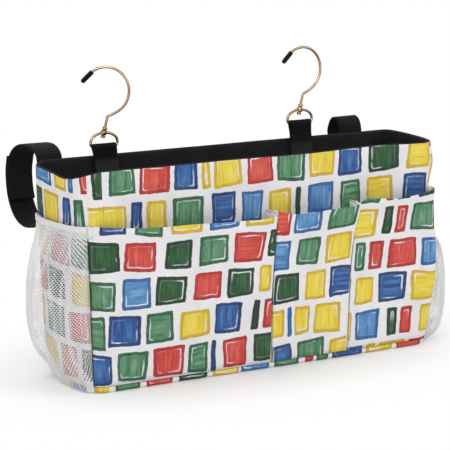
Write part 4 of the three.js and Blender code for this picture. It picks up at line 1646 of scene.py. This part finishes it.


# Boards inside the walls

boards = {
    # the back and left end boards: name, node and first station
    "cut": [("boardBack", "board_back", 4), ("boardLeftEnd", "board_left_end", 6)],
    "depth": 1.3,
    "reach": (1.5, 192),
    "thickness": 2,
    "baseLine": (3.8, 1.35),
    "baseThickness": 1.9,
}

for name in ("board_front", "board_right_end"):
    for holder in bpy.data.objects[name].material_slots:
        holder.material = finishes["greyBoard"]


def buildBoards():
    # the boards at the back left are cut to the dip of the rim and give way at the drawn-up corner
    for name, node, first in boards["cut"]:
        columns, places = [], []
        for station in np.linspace(first, first + 1, 33):
            frameAt, heights = planFrame(station), np.linspace(*boards["reach"], 30)
            column = [rimmedPoint(station, frameAt, boards["depth"], z) for z in heights]
            columns.append(column)
            places.append([(point.y, point.z) for point in column])
        board = clothPiece(name, columns, places, "greyBoard", boards["thickness"])
        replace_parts(board, node)
    height = boards["baseLine"][1]
    columns, places = shellColumns([boards["baseLine"]], wallStations(58, 15), bag["floorRows"], height)
    board = clothPiece("boardBase", columns, places, "greyBoard", boards["baseThickness"], True)
    closeFloor(board)
    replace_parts(board, "board_base")


buildBoards()
print("boards built")


# Floor, backdrop and lamps

studio = {
    "floor": colour(254, 254, 254),
    "floorHalf": 6,
    "floorFades": (0.05, 0.25),
    "fadeWidth": 0.65,
    "ambient": 0.52,
    "aim": (0, 0, 0.1),
    "lamps": [
        # name, place, size, power
        ("softboxLeft", (-1.5, -1.7, 1.7), 1.5, 22),
        ("softboxRight", (1.7, -1.5, 1.3), 1.5, 13),
        ("softboxTop", (0.1, 0.3, 2.3), 1.7, 14),
    ],
}


def seenDirectly(n):
    light = n.add("LightPath").outputs
    kinds = ("Camera", "Glossy", "Transmission")
    camera, glossy, through = (Value(n, light[f"Is {kind} Ray"]) for kind in kinds)
    return n.math("MAXIMUM", camera, n.math("MAXIMUM", glossy, through))


def buildFloor():
    # pale floor that keeps the caddy's shadow and is white further off
    mesh = bpy.data.meshes.new("studioFloor")
    half = studio["floorHalf"]
    corners = [(-half, -half, 0), (half, -half, 0), (half, half, 0), (-half, half, 0)]
    mesh.from_pydata(corners, [], [(0, 1, 2, 3)])
    floor = linked("studioFloor", mesh)
    material, n, shader = newMaterial("paleFloor")
    shader["Base Color"].default_value = studio["floor"]
    shader["Roughness"].default_value = 1.0
    shader["Specular IOR Level"].default_value = 0.0
    x, y, _ = n.split(objectPlace(n))
    away = n.filled("VectorMath", [n.join(x * studio["fadeWidth"], y)], "Value", operation="LENGTH")
    share = n.ramp(away, *studio["floorFades"], smooth=True) * seenDirectly(n)
    output = next(node for node in material.node_tree.nodes if node.type == "OUTPUT_MATERIAL")
    lit = Value(n, output.inputs[0].links[0].from_socket)
    white = Value(n, n.add("Emission").outputs[0])
    n.feed(output.inputs[0], n.filled("MixShader", (share, lit, white)))
    mesh.materials.append(material)


def buildStudio():
    world = bpy.data.worlds.new("studio")
    world.use_nodes = True
    world.node_tree.nodes.clear()
    n = Nodes(world.node_tree)
    backs = [n.filled("Background", ((1, 1, 1, 1), strength)) for strength in (studio["ambient"], 1.0)]
    n.feed(n.add("OutputWorld").inputs[0], n.filled("MixShader", (seenDirectly(n), *backs)))
    bpy.context.scene.world = world

    for name, place, size, power in studio["lamps"]:
        lamp = bpy.data.lights.new(name, "AREA")
        lamp.shape = "DISK"
        lamp.size = size
        lamp.energy = power
        holder = linked(name, lamp)
        holder.location = place
        holder.rotation_euler = (Vector(place) - Vector(studio["aim"])).to_track_quat("Z", "Y").to_euler()
    bpy.context.scene.view_settings.view_transform = "Standard"


buildFloor()
buildStudio()
print("studio built")
